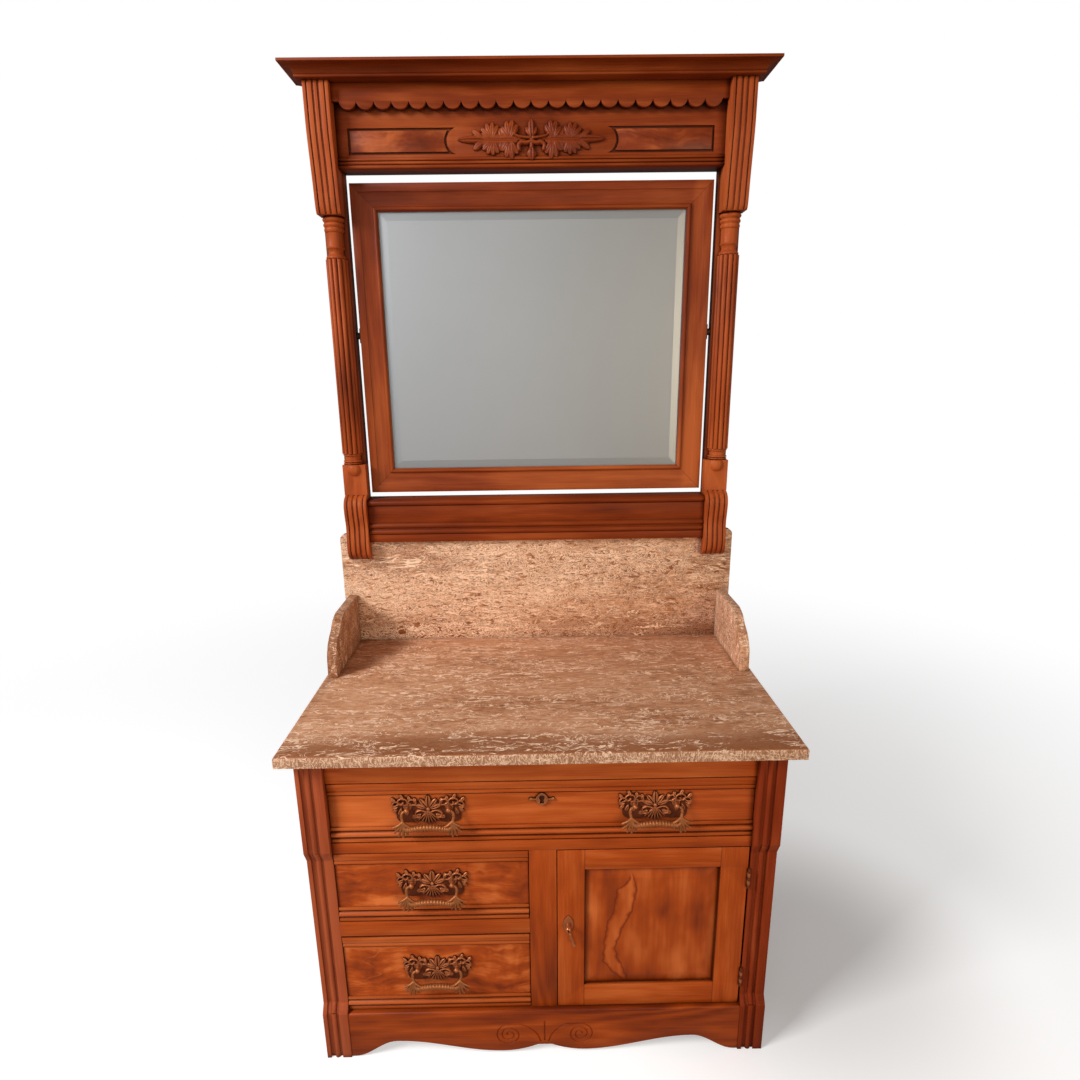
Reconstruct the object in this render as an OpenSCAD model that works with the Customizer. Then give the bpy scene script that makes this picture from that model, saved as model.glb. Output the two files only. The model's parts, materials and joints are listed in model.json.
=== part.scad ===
// Washstand with a marble top, a splash-back and a tall tilting mirror in a scroll-bracketed harp.
// Millimetres, +Z up, the front faces -Y, the origin is at the middle of the footprint on the floor.

/* [Cabinet] */
// Width over the front posts
case_w = 900; // [840:1:980]
// Height from the floor to the underside of the marble
case_h = 698; // [690:1:740]
// Depth from the front posts' face to the cabinet's back
case_d = 505; // [460:1:560]
// Width of a front post
post_w = 50; // [46:1:60]
// Depth of a front post
post_d = 48; // [42:1:60]
// How far the posts' middle stretch is set back
post_step = 11; // [6:0.5:14]
// Height of the foot block of a front post
foot_block_h = 113; // [100:1:125]
// Height of the slope above the foot block
foot_slope_h = 18; // [12:1:24]
// Length of the full-depth block at a post's head
head_block_h = 200; // [180:1:215]
// Height of the slope under the head block
head_slope_h = 24; // [12:1:30]
// Distance of the posts' bead from the post's left edge
bead_x = 21.5; // [20:0.5:24]
// Radius of the posts' bead
bead_r = 6; // [4:0.5:7]
// Depth of the channel that the bead lies in
channel_depth = 4; // [2:0.5:5]
// Width of the channel that the bead lies in
channel_w = 24; // [16:1:26]
// Depth of a rear post
rear_post_d = 30; // [24:1:40]
// Set-back of rails, drawers and door behind the front posts
face_setback = 10; // [6:0.5:14]
// Thickness of the front rails, the stile and the apron
rail_t = 22; // [18:1:26]
// Height of the rail under the marble
top_rail_h = 57; // [45:1:62]
// Height of the rail between the top drawer and the lower section
drawer_rail_h = 23; // [18:1:28]
// Height of the rail between the two small drawers
small_rail_h = 34; // [26:1:38]
// Width of the stile between the small drawers and the door
stile_w = 53; // [44:1:60]
// Height of the apron at its top edge
apron_top = 111; // [104:1:118]
// Height of the apron's curve above the floor at its highest point
apron_rise = 39; // [30:1:46]
// Clearance of the apron's ends over the floor
apron_clear = 2; // [2:0.5:8]
// Setback of the apron's face behind the posts' feet
apron_setback = 1; // [0.5:0.5:8]
// Radius of the arris along the apron's top
apron_arris = 4; // [2:0.5:6]
// Thickness of the side rails
side_rail_t = 20; // [16:1:24]
// Set-back of the side rails behind the posts' outer face
side_setback = 6; // [3:0.5:10]
// Height of the lower side rails
side_rail_h = 66; // [50:1:80]
// Thickness of the side panels
side_panel_t = 8; // [6:0.5:10]
// Depth of the grooves that hold panels
groove_d = 8; // [6:0.5:10]
// Thickness of the back boards
back_t = 7; // [5:0.5:10]
// Thickness of the bottom board and the partition
board_t = 18; // [14:1:22]
// Thickness of the dust panel under the top drawer
dust_t = 6; // [4:0.5:8]
// Width of a drawer runner
runner_w = 44; // [36:1:60]
// Height of the strips that guide the drawers
guide_h = 16; // [12:1:24]

/* [Drawers] */
// Height of the top drawer's front
top_drawer_h = 126; // [110:1:132]
// Share of the two small drawers' height that the upper one has
small_drawer_share = 0.4628; // [0.42:0.0001:0.5]
// Gap round drawer fronts and the door
front_gap = 1.5; // [1:0.1:2.5]
// Extra gap over the lower small drawer
lower_ease = 2; // [0:0.5:4]
// Thickness of a drawer front
front_t = 22; // [18:1:26]
// Depth of a drawer front's field behind its mouldings
field_depth = 4; // [2:0.5:5]
// Height of a drawer front's upper moulding
top_mould_h = 27; // [22:1:32]
// Height of a drawer front's lower moulding
low_mould_h = 32; // [26:1:40]
// Thickness of drawer sides and backs
side_t = 12; // [9:0.5:15]
// Thickness of a drawer bottom
bottom_t = 6; // [4:0.5:8]
// Length of a drawer box behind its front
box_len = 420; // [340:1:440]
// Clearance between a drawer box and what guides it
slide_gap = 1; // [0.5:0.1:2]

/* [Door] */
// Gap on the hinge side of the door
hinge_gap = 4; // [3.4:0.1:5]
// Width of the door's stiles
door_stile_w = 53; // [44:1:60]
// Height of the door's top rail
door_top_h = 44; // [38:1:54]
// Height of the door's bottom rail
door_low_h = 52; // [44:1:62]
// Thickness of the door
door_t = 20; // [18:1:24]
// Width of the raised panel's bevel
bevel_w = 24; // [18:1:32]
// Radius of a hinge knuckle
knuckle_r = 2.8; // [2.4:0.1:3.2]
// Radius of a hinge pin
hinge_pin_r = 1.3; // [1:0.05:1.5]
// Height of a door hinge
hinge_h = 44; // [36:1:50]
// Distance of the lower hinge's middle from the door's foot
low_hinge_in = 67.5; // [55:0.5:90]
// Distance of the upper hinge's middle from the door's head
high_hinge_in = 69.5; // [55:0.5:90]

/* [Hardware] */
// Distance between the posts of a pull
bail_span = 78; // [64:1:90]
// Distance of the pull centres from the middle of the top drawer
pull_x = 212; // [180:1:240]
// Thickness of the cast backplates
plate_t = 2; // [1.5:0.25:3]
// Distance of the bails' pivot from the drawer's field
pivot_out = 13; // [11:0.5:16]
// Radius of the bails' pivot pins
bail_pin_r = 1.6; // [1.2:0.1:2]
// Radial clearance of a running pin
pin_gap = 0.05; // [0.02:0.01:0.09]
// Length of the bolt that the lock throws
bolt_throw = 7; // [5:0.5:8]

/* [Marble] */
// Overhang of the top at the front and the sides
slab_over = 25; // [15:1:35]
// Thickness of the top
slab_t = 22; // [18:1:28]
// Radius of the top's worn arris
arris_r = 4; // [2:0.5:6]
// Thickness of the backsplash
splash_t = 20; // [16:1:24]
// How far the backsplash's ends pass those of the top
splash_over = 2.5; // [0:0.5:4]
// Height of the backsplash above the top
splash_h = 274; // [240:1:300]
// Thickness of the side splashes
side_splash_t = 21; // [16:1:24]
// Height of the side splashes above the top
side_splash_h = 120; // [100:1:140]
// Length of the side splashes
side_splash_len = 208; // [180:1:240]
// Distance of the side splashes' inner faces from the backsplash's ends
side_splash_in = 31.5; // [26:0.5:48]
// Depth of the housings that the splashes stand in
splash_seat = 1; // [0.5:0.25:3]

/* [Harp] */
// Width between the stiles that hold the mirror
harp_open_w = 810; // [790:1:830]
// Width of a stile
harp_stile_w = 51; // [46:1:56]
// Thickness of a stile
harp_stile_t = 22; // [18:1:26]
// How far the stiles reach down behind the cabinet
harp_foot = 280; // [200:1:400]
// Height of the brackets' lower ends above the marble
bracket_rise = 212; // [190:1:240]
// Height of a scroll bracket
bracket_h = 160; // [150:1:175]
// Height of the block between a bracket and its column
block_h = 72; // [60:1:80]
// Height of a turned half column
column_h = 539; // [500:1:560]
// Radius of a turned half column
column_r = 22.5; // [20:0.5:24]
// Number of reeds that a column shows
reed_count = 7; // [5:2:9]
// Height of a flared post
flare_h = 243; // [220:1:260]
// Width of the flared posts, blocks and brackets
flare_w = 52; // [48:1:56]
// Depth of the grooves in the flared posts and brackets
reed_depth = 2.5; // [1.5:0.25:3.5]
// Height of the harp's bottom rail
harp_rail_h = 103; // [90:1:110]
// Drop of the bottom rail's upper edge below the blocks
harp_rail_drop = 12; // [6:1:16]
// Distance of the bottom rail's face before the stiles
harp_rail_out = 35; // [30:1:42]
// Height of the frieze
frieze_h = 154; // [140:1:170]
// Thickness of the frieze board
frieze_t = 25; // [20:1:28]
// Width of the oval ground under the carving
carving_w = 314; // [290:1:320]
// Height of the oval ground under the carving
carving_h = 42; // [38:1:46]
// Height of the sunk panels beside the carving
frieze_panel_h = 50; // [44:1:54]
// Number of scallops on the valance
scallop_count = 22; // [18:1:26]
// Depth of the scallops
scallop_d = 15; // [10:1:17]
// Height of the valance down to the scallops' notches
valance_h = 33; // [26:1:38]
// Thickness of the valance
valance_t = 8; // [6:0.5:10]
// Height of the cornice
cornice_h = 24; // [20:1:30]
// Overhang of the cornice's lower edge past the flared posts
crown_low = 12; // [8:1:16]
// Overhang of the cornice's upper edge past the flared posts
crown_top = 36; // [30:1:42]

/* [Mirror] */
// Gap between the mirror frame and the stiles
mirror_gap = 10; // [8:0.5:14]
// Gap over the mirror frame
mirror_top_gap = 21; // [16:1:26]
// Gap under the mirror frame
mirror_low_gap = 14; // [10:1:18]
// Width of the mirror frame's members
mirror_member = 56.5; // [48:0.5:64]
// Thickness of the mirror frame
mirror_t = 23; // [20:1:26]
// Width of the glass's bevel
glass_bevel = 18; // [12:1:24]
// Thickness of the mirror glass
glass_t = 5; // [4:0.5:6]
// Height of the pivots above the frame's middle
pivot_above = 23.5; // [10:0.5:40]
// Radius of the mirror's pivot pins
mirror_pin_r = 3; // [2.5:0.25:4]

/* [Hidden] */
$fn = 48;
half_w = case_w / 2;
inner_w = half_w - post_w;
y_front = -(case_d + harp_stile_t - slab_over) / 2;
face_y = face_setback;
field_y = face_y + field_depth;
apron_y = apron_setback;
rear_y = case_d - rear_post_d;

// heights in the front, from the marble down
top_rail_z = case_h - top_rail_h;
top_drawer_z1 = top_rail_z - front_gap;
top_drawer_z0 = top_drawer_z1 - top_drawer_h;
drawer_rail_z1 = top_drawer_z0 - front_gap;
drawer_rail_z0 = drawer_rail_z1 - drawer_rail_h;
upper_z1 = drawer_rail_z0 - front_gap;
lower_z0 = apron_top + front_gap;
small_fronts_h = upper_z1 - lower_z0 - small_rail_h - 2 * front_gap - lower_ease;
upper_drawer_h = small_fronts_h * small_drawer_share;
upper_z0 = upper_z1 - upper_drawer_h;
small_rail_z1 = upper_z0 - front_gap;
small_rail_z0 = small_rail_z1 - small_rail_h;
lower_z1 = small_rail_z0 - front_gap - lower_ease;

// the stile, the partition and what they part
stile_x0 = -stile_w / 2;
stile_x1 = stile_w / 2;
part_x0 = -board_t / 2;
part_x1 = board_t / 2;
small_x0 = -inner_w + front_gap;
small_x1 = stile_x0 - front_gap;
small_mid_x = (small_x0 + small_x1) / 2;
door_x0 = stile_x1 + front_gap;
door_x1 = inner_w - hinge_gap;
door_z0 = apron_top + front_gap;
door_z1 = drawer_rail_z0 - front_gap;
hinge_x = inner_w - hinge_gap / 2;
hinge_y = face_y - knuckle_r - 0.2;
low_hinge_z = door_z0 + low_hinge_in;
high_hinge_z = door_z1 - high_hinge_in;
side_in = half_w - side_setback - side_rail_t;
side_mid = side_in + side_rail_t / 2;
side_low_z0 = 64;
side_low_z1 = side_low_z0 + side_rail_h;
side_high_z0 = case_h - side_rail_h + 8;

// pulls and lock
upper_pull_z = (upper_z0 + upper_z1) / 2 + 4.25;
lower_pull_z = (lower_z0 + lower_z1) / 2 + 8.75;
top_pull_z = (top_drawer_z0 + top_drawer_z1) / 2 + 4;
pivot_rise = 6;
pivot_y = field_y - pivot_out;
stud_r = 3.2;
stud_gap = 0.4;
grip_drop = 33;
grip_out = 9;
grip_r = 4;
lock_z = top_drawer_z1 - 39;
lock_w = 60;
lock_h = 52;
lock_t = 10;
bolt_w = 22;
bolt_t = 5;
bolt_y = face_y + front_t - 8;
drop_x = door_x0 + 21;
drop_z = (door_z0 + door_z1) / 2 + 16.5;
drop_tilt = 16;
drop_pivot_y = face_y - 13;
drop_len = 42;

// marble
slab_z1 = case_h + slab_t;
splash_y = case_d - splash_t;
splash_w = 2 * (half_w + slab_over + splash_over);
side_splash_x = splash_w / 2 - side_splash_in;

// harp, from the brackets up
bracket_z = slab_z1 + bracket_rise;
block_z = bracket_z + bracket_h;
column_z = block_z + block_h;
flare_z = column_z + column_h;
harp_z1 = flare_z + flare_h;
open_x = harp_open_w / 2;
flare_x0 = open_x + 3;
flare_mid = flare_x0 + flare_w / 2;
bracket_mid = open_x - 3 + flare_w / 2;
stile_y = case_d;
harp_back = case_d + harp_stile_t;
open_z0 = block_z - harp_rail_drop;
open_z1 = harp_z1 - frieze_h;
rail_face = stile_y - harp_rail_out;
frieze_y = stile_y - frieze_t;
crown_in = flare_w + 8;
panel_mid_z = open_z1 + frieze_h / 3;
valance_y = frieze_y - valance_t - 7;
flare_y = stile_y - 57;

// mirror
mirror_x = open_x - mirror_gap;
mirror_z0 = open_z0 + mirror_low_gap;
mirror_h = open_z1 - mirror_top_gap - mirror_z0;
mirror_y = stile_y - 2;
mirror_mid_y = mirror_y + mirror_t / 2;
pivot_z = mirror_z0 + mirror_h / 2 + pivot_above;
sight_x = mirror_x - mirror_member;
rebate = 9;
lip_t = 8;

wood = "#9c4c20";
dark_wood = "#7a3214";
inner_wood = "#b98a55";
marble = "#a3856c";
brass = "#96703a";
steel = "#4a4038";

// ---------- helpers ----------

// moves the front posts' plane to its place over the footprint
module seat() translate([0, y_front, 0]) children();

module box(x0, x1, y0, y1, z0, z1) translate([x0, y0, z0]) cube([x1 - x0, y1 - y0, z1 - z0]);

// a profile drawn in Y and Z, run along X
module along_x(x0, x1)
    translate([x0, 0, 0]) rotate([90, 0, 90]) linear_extrude(x1 - x0) children();

// an outline drawn in X and Z, run along Y
module along_y(y0, y1)
    translate([0, y1, 0]) rotate([90, 0, 0]) linear_extrude(y1 - y0) children();

module rod(p, q, r1, r2) {
    d = q - p;
    translate(p)
        rotate([0, acos(d[2] / norm(d)), atan2(d[1], d[0])])
            cylinder(h = norm(d), r1 = r1, r2 = r2, $fn = 24);
}

module both_sides() {
    children();
    mirror([1, 0, 0]) children();
}

// half a cosine wave from 0 to 1
function ease(t) = (1 - cos(180 * min(max(t, 0), 1))) / 2;

// a smooth run through hand-set points, n steps to each stretch
function at(p, i) = p[min(max(i, 0), len(p) - 1)];
function bend(a, b, c, d, t) =
    0.5 * (2 * b + (c - a) * t + (2 * a - 5 * b + 4 * c - d) * t * t
        + (3 * b - a - 3 * c + d) * t * t * t);
function smooth(p, n) = concat(
    [for (i = [0 : len(p) - 2], k = [0 : n - 1])
        bend(at(p, i - 1), p[i], p[i + 1], at(p, i + 2), k / n)],
    [p[len(p) - 1]]);

// ---------- cabinet ----------

module post_side(back)
    polygon([[back, 0], [back, foot_block_h],
        [back + post_step, foot_block_h + foot_slope_h],
        [back + post_step, case_h - head_block_h - head_slope_h],
        [back, case_h - head_block_h], [back, case_h], [post_d, case_h], [post_d, 0]]);

// the bead follows the post's steps; on the slopes it is a hair thinner than on the straights
module post_bead(x) {
    path = [[0, 0], [0, foot_block_h], [post_step, foot_block_h + foot_slope_h],
        [post_step, case_h - head_block_h - head_slope_h], [0, case_h - head_block_h], [0, case_h]];
    for (i = [0 : len(path) - 2]) {
        r = path[i][0] == path[i + 1][0] ? bead_r : bead_r - 0.2;
        rod([x, path[i][0] + bead_r, path[i][1]], [x, path[i + 1][0] + bead_r, path[i + 1][1]], r, r);
    }
}

module front_post(x0) {
    c0 = x0 + bead_x - channel_w / 2 - 1.5;
    c1 = c0 + channel_w;
    difference() {
        union() {
            along_x(x0, c0) post_side(0);
            along_x(c0, c1) post_side(channel_depth);
            along_x(c1, x0 + post_w) post_side(0);
            post_bead(x0 + bead_x);
        }
        side_groove(x0);
    }
}

// the groove in a front post that takes the side panel's front edge
module side_groove(x0) {
    s = x0 < 0 ? -1 : 1;
    translate([s * side_mid, 0, 0])
        box(-side_panel_t / 2, side_panel_t / 2, post_d - groove_d, post_d + 1,
            side_low_z1 - groove_d, side_high_z0 + groove_d);
}

module front_post_left() color(wood) seat() front_post(-half_w);

module front_post_right() color(wood) seat() front_post(half_w - post_w);

module rear_posts() color(wood) seat() both_sides() difference() {
    box(inner_w, half_w, rear_y, case_d, 0, case_h);
    box(side_mid - side_panel_t / 2, side_mid + side_panel_t / 2, rear_y - 1, rear_y + groove_d,
        side_low_z1 - groove_d, side_high_z0 + groove_d);
}

module side_rails() color(wood) seat() both_sides() difference() {
    union() {
        box(side_in, side_in + side_rail_t, post_d, rear_y, side_low_z0, side_low_z1);
        box(side_in, side_in + side_rail_t, post_d, rear_y, side_high_z0, case_h);
    }
    box(side_mid - side_panel_t / 2, side_mid + side_panel_t / 2, post_d - 1, rear_y + 1,
        side_low_z1 - groove_d, side_high_z0 + groove_d);
}

module side_panels() color(wood) seat() both_sides()
    box(side_mid - side_panel_t / 2, side_mid + side_panel_t / 2, post_d - groove_d,
        rear_y + groove_d, side_low_z1 - groove_d, side_high_z0 + groove_d);

module top_rail() color(wood) seat() difference() {
    box(-inner_w, inner_w, face_y, face_y + front_t + 4, top_rail_z, case_h);
    // mortise for the lock's bolt
    box(-bolt_w / 2 - 1, bolt_w / 2 + 1, bolt_y - 1, bolt_y + bolt_t + 1,
        top_rail_z - 1, top_rail_z + bolt_throw + 2);
}

module drawer_rail() color(wood) seat()
    box(-inner_w, inner_w, face_y, face_y + rail_t, drawer_rail_z0, drawer_rail_z1);

module small_drawer_rail() color(wood) seat()
    box(-inner_w, stile_x0, face_y, face_y + rail_t, small_rail_z0, small_rail_z1);

module centre_stile() color(wood) seat()
    box(stile_x0, stile_x1, face_y, face_y + rail_t, apron_top, drawer_rail_z0);

// height of the apron's lower edge at a distance from the middle
foot_end = inner_w - 8;
peak_x = inner_w - 96;
dip_x = 84;
dip_z = apron_clear + 6;
notch_x = 14;
notch_z = dip_z + 15;
function apron_edge(x) =
    x > foot_end ? apron_clear :
    x > peak_x ? apron_clear + (apron_rise - apron_clear) * ease((foot_end - x) / (foot_end - peak_x)) :
    x > dip_x ? dip_z + (apron_rise - dip_z) * ease((x - dip_x) / (peak_x - dip_x)) :
    x > notch_x ? dip_z + (notch_z - dip_z) * pow((dip_x - x) / (dip_x - notch_x), 2) :
    notch_z;

module apron_outline() {
    xs = concat([-inner_w], [for (x = [-foot_end : 8 : -notch_x]) x], [-notch_x, notch_x],
        [for (x = [foot_end : -8 : notch_x]) foot_end + notch_x - x], [foot_end, inner_w]);
    polygon(concat([for (x = xs) [x, apron_edge(abs(x))]],
        [[inner_w, apron_top], [-inner_w, apron_top]]));
}

// the apron stands forward of the drawers and the door, its top arris rounded
module apron() color(wood) seat() intersection() {
    along_y(apron_y, apron_y + rail_t) apron_outline();
    along_x(-inner_w, inner_w) polygon(concat(
        [[apron_y + rail_t, apron_top], [apron_y + rail_t, 0], [apron_y, 0]],
        arc(apron_y + apron_arris, apron_top - apron_arris, apron_arris, 180, 90, 6)));
}

module bottom_board() color(inner_wood) seat() {
    box(-side_in, side_in, post_d, rear_y, apron_top - board_t, apron_top);
    box(-inner_w, inner_w, apron_y + rail_t, case_d - back_t, apron_top - board_t, apron_top);
}

module partition() color(inner_wood) seat()
    box(part_x0, part_x1, face_y + rail_t, case_d - back_t, apron_top, drawer_rail_z0);

module back_panel() color(inner_wood) seat() difference() {
    box(-inner_w, inner_w, case_d - back_t, case_d, 60, case_h);
    for (x = [-inner_w + inner_w / 2 : inner_w / 2 : inner_w - 1])
        translate([x, case_d, 0]) rotate([0, 0, 45]) box(-1.6, 1.6, -1.6, 1.6, 59, case_h + 1);
}

module back_rail() color(inner_wood) seat()
    box(-inner_w, inner_w, rear_y, case_d - back_t, side_high_z0, case_h);

// frame of runners with a dust panel, under the top drawer
module web_frame() color(inner_wood) seat() {
    web_z0 = drawer_rail_z0;
    web_z1 = drawer_rail_z1;
    both_sides() {
        box(side_in - runner_w - 20, side_in, post_d, rear_y, web_z0, web_z1);
        box(inner_w - runner_w, inner_w, face_y + rail_t, post_d, web_z0, web_z1);
        box(inner_w, side_in, post_d, rear_y, web_z1, web_z1 + guide_h);
    }
    box(-inner_w, inner_w, rear_y, case_d - back_t, web_z0, web_z1);
    box(-inner_w, inner_w, face_y + rail_t, face_y + rail_t + 40, web_z0, web_z1);
    mid_z = (web_z0 + web_z1) / 2;
    box(-inner_w, inner_w, face_y + rail_t + 40, rear_y, mid_z - dust_t / 2, mid_z + dust_t / 2);
}

// runners and guides of the small drawers, and the top drawer's kickers
module drawer_runners() color(inner_wood) seat() {
    run_z1 = small_rail_z1;
    run_z0 = run_z1 - 20;
    box(-side_in, -inner_w + runner_w, post_d, rear_y, run_z0, run_z1);
    box(-side_in, -inner_w, post_d, rear_y, run_z1, run_z1 + guide_h);
    box(part_x0 - runner_w, part_x0, face_y + rail_t, rear_y, run_z0, run_z1);
    box(stile_x0, part_x0, face_y + rail_t, rear_y, run_z1, run_z1 + guide_h);
    box(-side_in, -inner_w, post_d, rear_y, apron_top, apron_top + guide_h);
    box(stile_x0, part_x0, face_y + rail_t, rear_y, apron_top, apron_top + guide_h);
    both_sides()
        box(inner_w - runner_w, side_in, post_d, rear_y, top_rail_z, top_rail_z + 20);
}

// a block behind the stile that the closed door meets
module door_stop() color(inner_wood) seat() {
    stop_y = face_y + door_t + 0.5;
    box(part_x1, door_x0 + 12, stop_y + 2, stop_y + 20, door_z1 - 40, drawer_rail_z0);
}

// ---------- drawers ----------

function lerp(a, b, t) = a + (b - a) * t;
function curve3(a, c, b, n) =
    [for (k = [0 : n]) lerp(lerp(a, c, k / n), lerp(c, b, k / n), k / n)];
function arc(cy, cz, r, a0, a1, n) =
    [for (k = [0 : n]) [cy + r * cos(lerp(a0, a1, k / n)), cz + r * sin(lerp(a0, a1, k / n))]];

// section of a drawer front: moulded edges above and below a sunk field
module front_section(h) {
    t = top_mould_h;
    m = low_mould_h;
    f = field_depth;
    round_r = m * 0.17;
    points = concat(
        [[0, h], [0, h - t * 0.28]],
        curve3([0.6, h - t * 0.28], [0.9, h - t * 0.58], [f * 0.7, h - t * 0.62], 4),
        [[f * 0.3, h - t * 0.64], [f * 0.3, h - t * 0.86], [f + 1, h - t * 0.88],
            [f + 1, h - t], [f, h - t], [f, m], [f * 0.3, m], [f * 0.3, m * 0.8],
            [f + 1, m * 0.78], [f + 1, m * 0.68]],
        arc(round_r - f * 0.4, m * 0.5, round_r, 110, 250, 8),
        [[f + 1, m * 0.32], [f + 1, m * 0.24], [f * 0.3, m * 0.2], [f * 0.3, 0],
            [front_t, 0], [front_t, h]]);
    polygon(points);
}

module drawer_front(x0, x1, z0, z1)
    translate([0, face_y, z0]) along_x(x0, x1) front_section(z1 - z0);

// the box behind a front: two sides, a back and a bottom board let into them
module drawer_box(x0, x1, z0, z1) {
    y0 = face_y + front_t;
    y1 = y0 + box_len;
    bx0 = x0 + slide_gap;
    bx1 = x1 - slide_gap;
    lift = 8;
    box(bx0, bx0 + side_t, y0, y1, z0, z1);
    box(bx1 - side_t, bx1, y0, y1, z0, z1);
    box(bx0, bx1, y1 - side_t, y1, z0, z1 - 10);
    box(bx0, bx1, y0, y1, z0 + lift, z0 + lift + bottom_t);
}

module key_hole() {
    circle(r = 2.6);
    translate([-1.6, -8]) square([3.2, 8]);
}

module top_drawer_front() color(wood) seat() difference() {
    drawer_front(-inner_w + front_gap, inner_w - front_gap, top_drawer_z0, top_drawer_z1);
    translate([0, 0, lock_z]) along_y(face_y - 5, face_y + front_t + 5) key_hole();
    box(-lock_w / 2, lock_w / 2, face_y + front_t - lock_t, face_y + front_t + 1,
        top_drawer_z1 - lock_h, top_drawer_z1 + 1);
}

module top_drawer_box() color(inner_wood) seat()
    drawer_box(-inner_w + front_gap, inner_w - front_gap, drawer_rail_z1 + slide_gap,
        top_drawer_z1 - 8);

module drawer_lock() color(steel) seat() difference() {
    box(-lock_w / 2, lock_w / 2, face_y + front_t - lock_t, face_y + front_t,
        top_drawer_z1 - lock_h, top_drawer_z1);
    box(-bolt_w / 2 - 0.4, bolt_w / 2 + 0.4, bolt_y - 0.4, bolt_y + bolt_t + 0.4,
        top_drawer_z1 - 25, top_drawer_z1 + 1);
    translate([0, 0, lock_z]) along_y(face_y, face_y + front_t - 3) key_hole();
}

module lock_bolt() color(brass) seat()
    box(-bolt_w / 2, bolt_w / 2, bolt_y, bolt_y + bolt_t, top_drawer_z1 - 24, top_drawer_z1 - 0.5);

module upper_drawer_front() color(wood) seat() drawer_front(small_x0, small_x1, upper_z0, upper_z1);

module upper_drawer_box() color(inner_wood) seat()
    drawer_box(small_x0, small_x1, small_rail_z1 + slide_gap, upper_z1 - 8);

module lower_drawer_front() color(wood) seat() drawer_front(small_x0, small_x1, lower_z0, lower_z1);

module lower_drawer_box() color(inner_wood) seat()
    drawer_box(small_x0, small_x1, apron_top + slide_gap, lower_z1 - 8);

// ---------- pulls ----------

// a pointed leaf from two crossing circles
module leaf(l, w) {
    r = (l * l / 4 + w * w / 4) / w;
    intersection() {
        translate([l / 2, r - w / 2]) circle(r = r);
        translate([l / 2, w / 2 - r]) circle(r = r);
    }
}

// a nine-petalled flower between two leafy wings
module plate_outline() {
    b = bail_span / 2;
    translate([0, 9])
        polygon([for (a = [0 : 4 : 356]) (20 + 6 * sqrt(abs(cos(4.5 * a)))) * [sin(a), cos(a)]]);
    wing = smooth([[8, 16], [b - 19, 22], [b - 12, 27], [b - 5, 22], [b + 2, 28], [b + 11, 26],
        [b + 17, 20], [b + 25, 20], [b + 27, 13], [b + 21, 9], [b + 24, 0], [b + 15, 2],
        [b + 11, -6], [b + 3, -4], [b - 3, -8], [b - 11, 0], [b - 19, -2], [8, -6]], 3);
    both_sides() polygon(wing);
}

// a stud's ball, bored through its poles for the bail's pin
module stud_ball() rotate([0, 90, 0]) difference() {
    sphere(r = stud_r + 1.4, $fn = 24);
    translate([0, 0, -6]) cylinder(h = 12, r = bail_pin_r + pin_gap, $fn = 24);
}

// backplate with the two bored studs that the bail turns in
module pull_plate(x, z) translate([x, 0, z]) {
    along_y(field_y - plate_t, field_y) plate_outline();
    both_sides() translate([bail_span / 2, 0, pivot_rise]) {
        rod([0, field_y - plate_t, 0], [0, pivot_y + 2.5, 0], stud_r + 0.8, stud_r);
        translate([0, pivot_y, 0]) stud_ball();
    }
}

// bail: pins through the studs, arms that branch into root-like feet, and a swelled grip
module bail(x, z) translate([x, pivot_y, z + pivot_rise]) {
    b = bail_span / 2;
    arm_x = b + stud_r + 1.4 + stud_gap + 2;
    knee = [arm_x + 1, -5, -14];
    fork = [arm_x - 3, -grip_out + 1, -24];
    end = [b - 11, -grip_out, -grip_drop];
    both_sides() {
        rod([b - 6, 0, 0], [arm_x + 1, 0, 0], bail_pin_r, bail_pin_r);
        rod([arm_x, 0, 2], knee, 2, 1.9);
        translate(knee) sphere(r = 1.95, $fn = 24);
        rod(knee, fork, 1.9, 2.2);
        translate(fork) sphere(r = 2.4, $fn = 24);
        rod(fork, end, 2.2, 3);
        rod(fork, [b + 22, -grip_out, -33], 1.9, 1.3);
        rod(fork, [b + 17, -grip_out, -41], 1.9, 1.3);
        rod(fork, [b + 7, -grip_out, -45], 1.9, 1.3);
        rod(fork, [b - 2, -grip_out, -43], 1.9, 1.3);
        translate(end) sphere(r = 3.2, $fn = 24);
        rod(end, [0, -grip_out, -grip_drop], 3, grip_r);
    }
}

module top_pull_plates() color(brass) seat() both_sides() pull_plate(pull_x, top_pull_z);

module upper_pull_plate() color(brass) seat() pull_plate(small_mid_x, upper_pull_z);

module lower_pull_plate() color(brass) seat() pull_plate(small_mid_x, lower_pull_z);

module top_bail_left() color(brass) seat() bail(-pull_x, top_pull_z);

module top_bail_right() color(brass) seat() bail(pull_x, top_pull_z);

module upper_bail() color(brass) seat() bail(small_mid_x, upper_pull_z);

module lower_bail() color(brass) seat() bail(small_mid_x, lower_pull_z);

module escutcheon() color(brass) seat() translate([0, 0, lock_z - 2]) difference() {
    along_y(field_y - 1.5, field_y) {
        rotate(45) square(18, center = true);
        circle(r = 10.5);
        both_sides() {
            translate([8, 0]) leaf(17, 7);
            translate([20, 3]) circle(r = 3);
            translate([20, -3]) circle(r = 3);
        }
    }
    translate([0, 0, 2]) along_y(field_y - 3, field_y + 1) key_hole();
}

// ---------- door ----------

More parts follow.
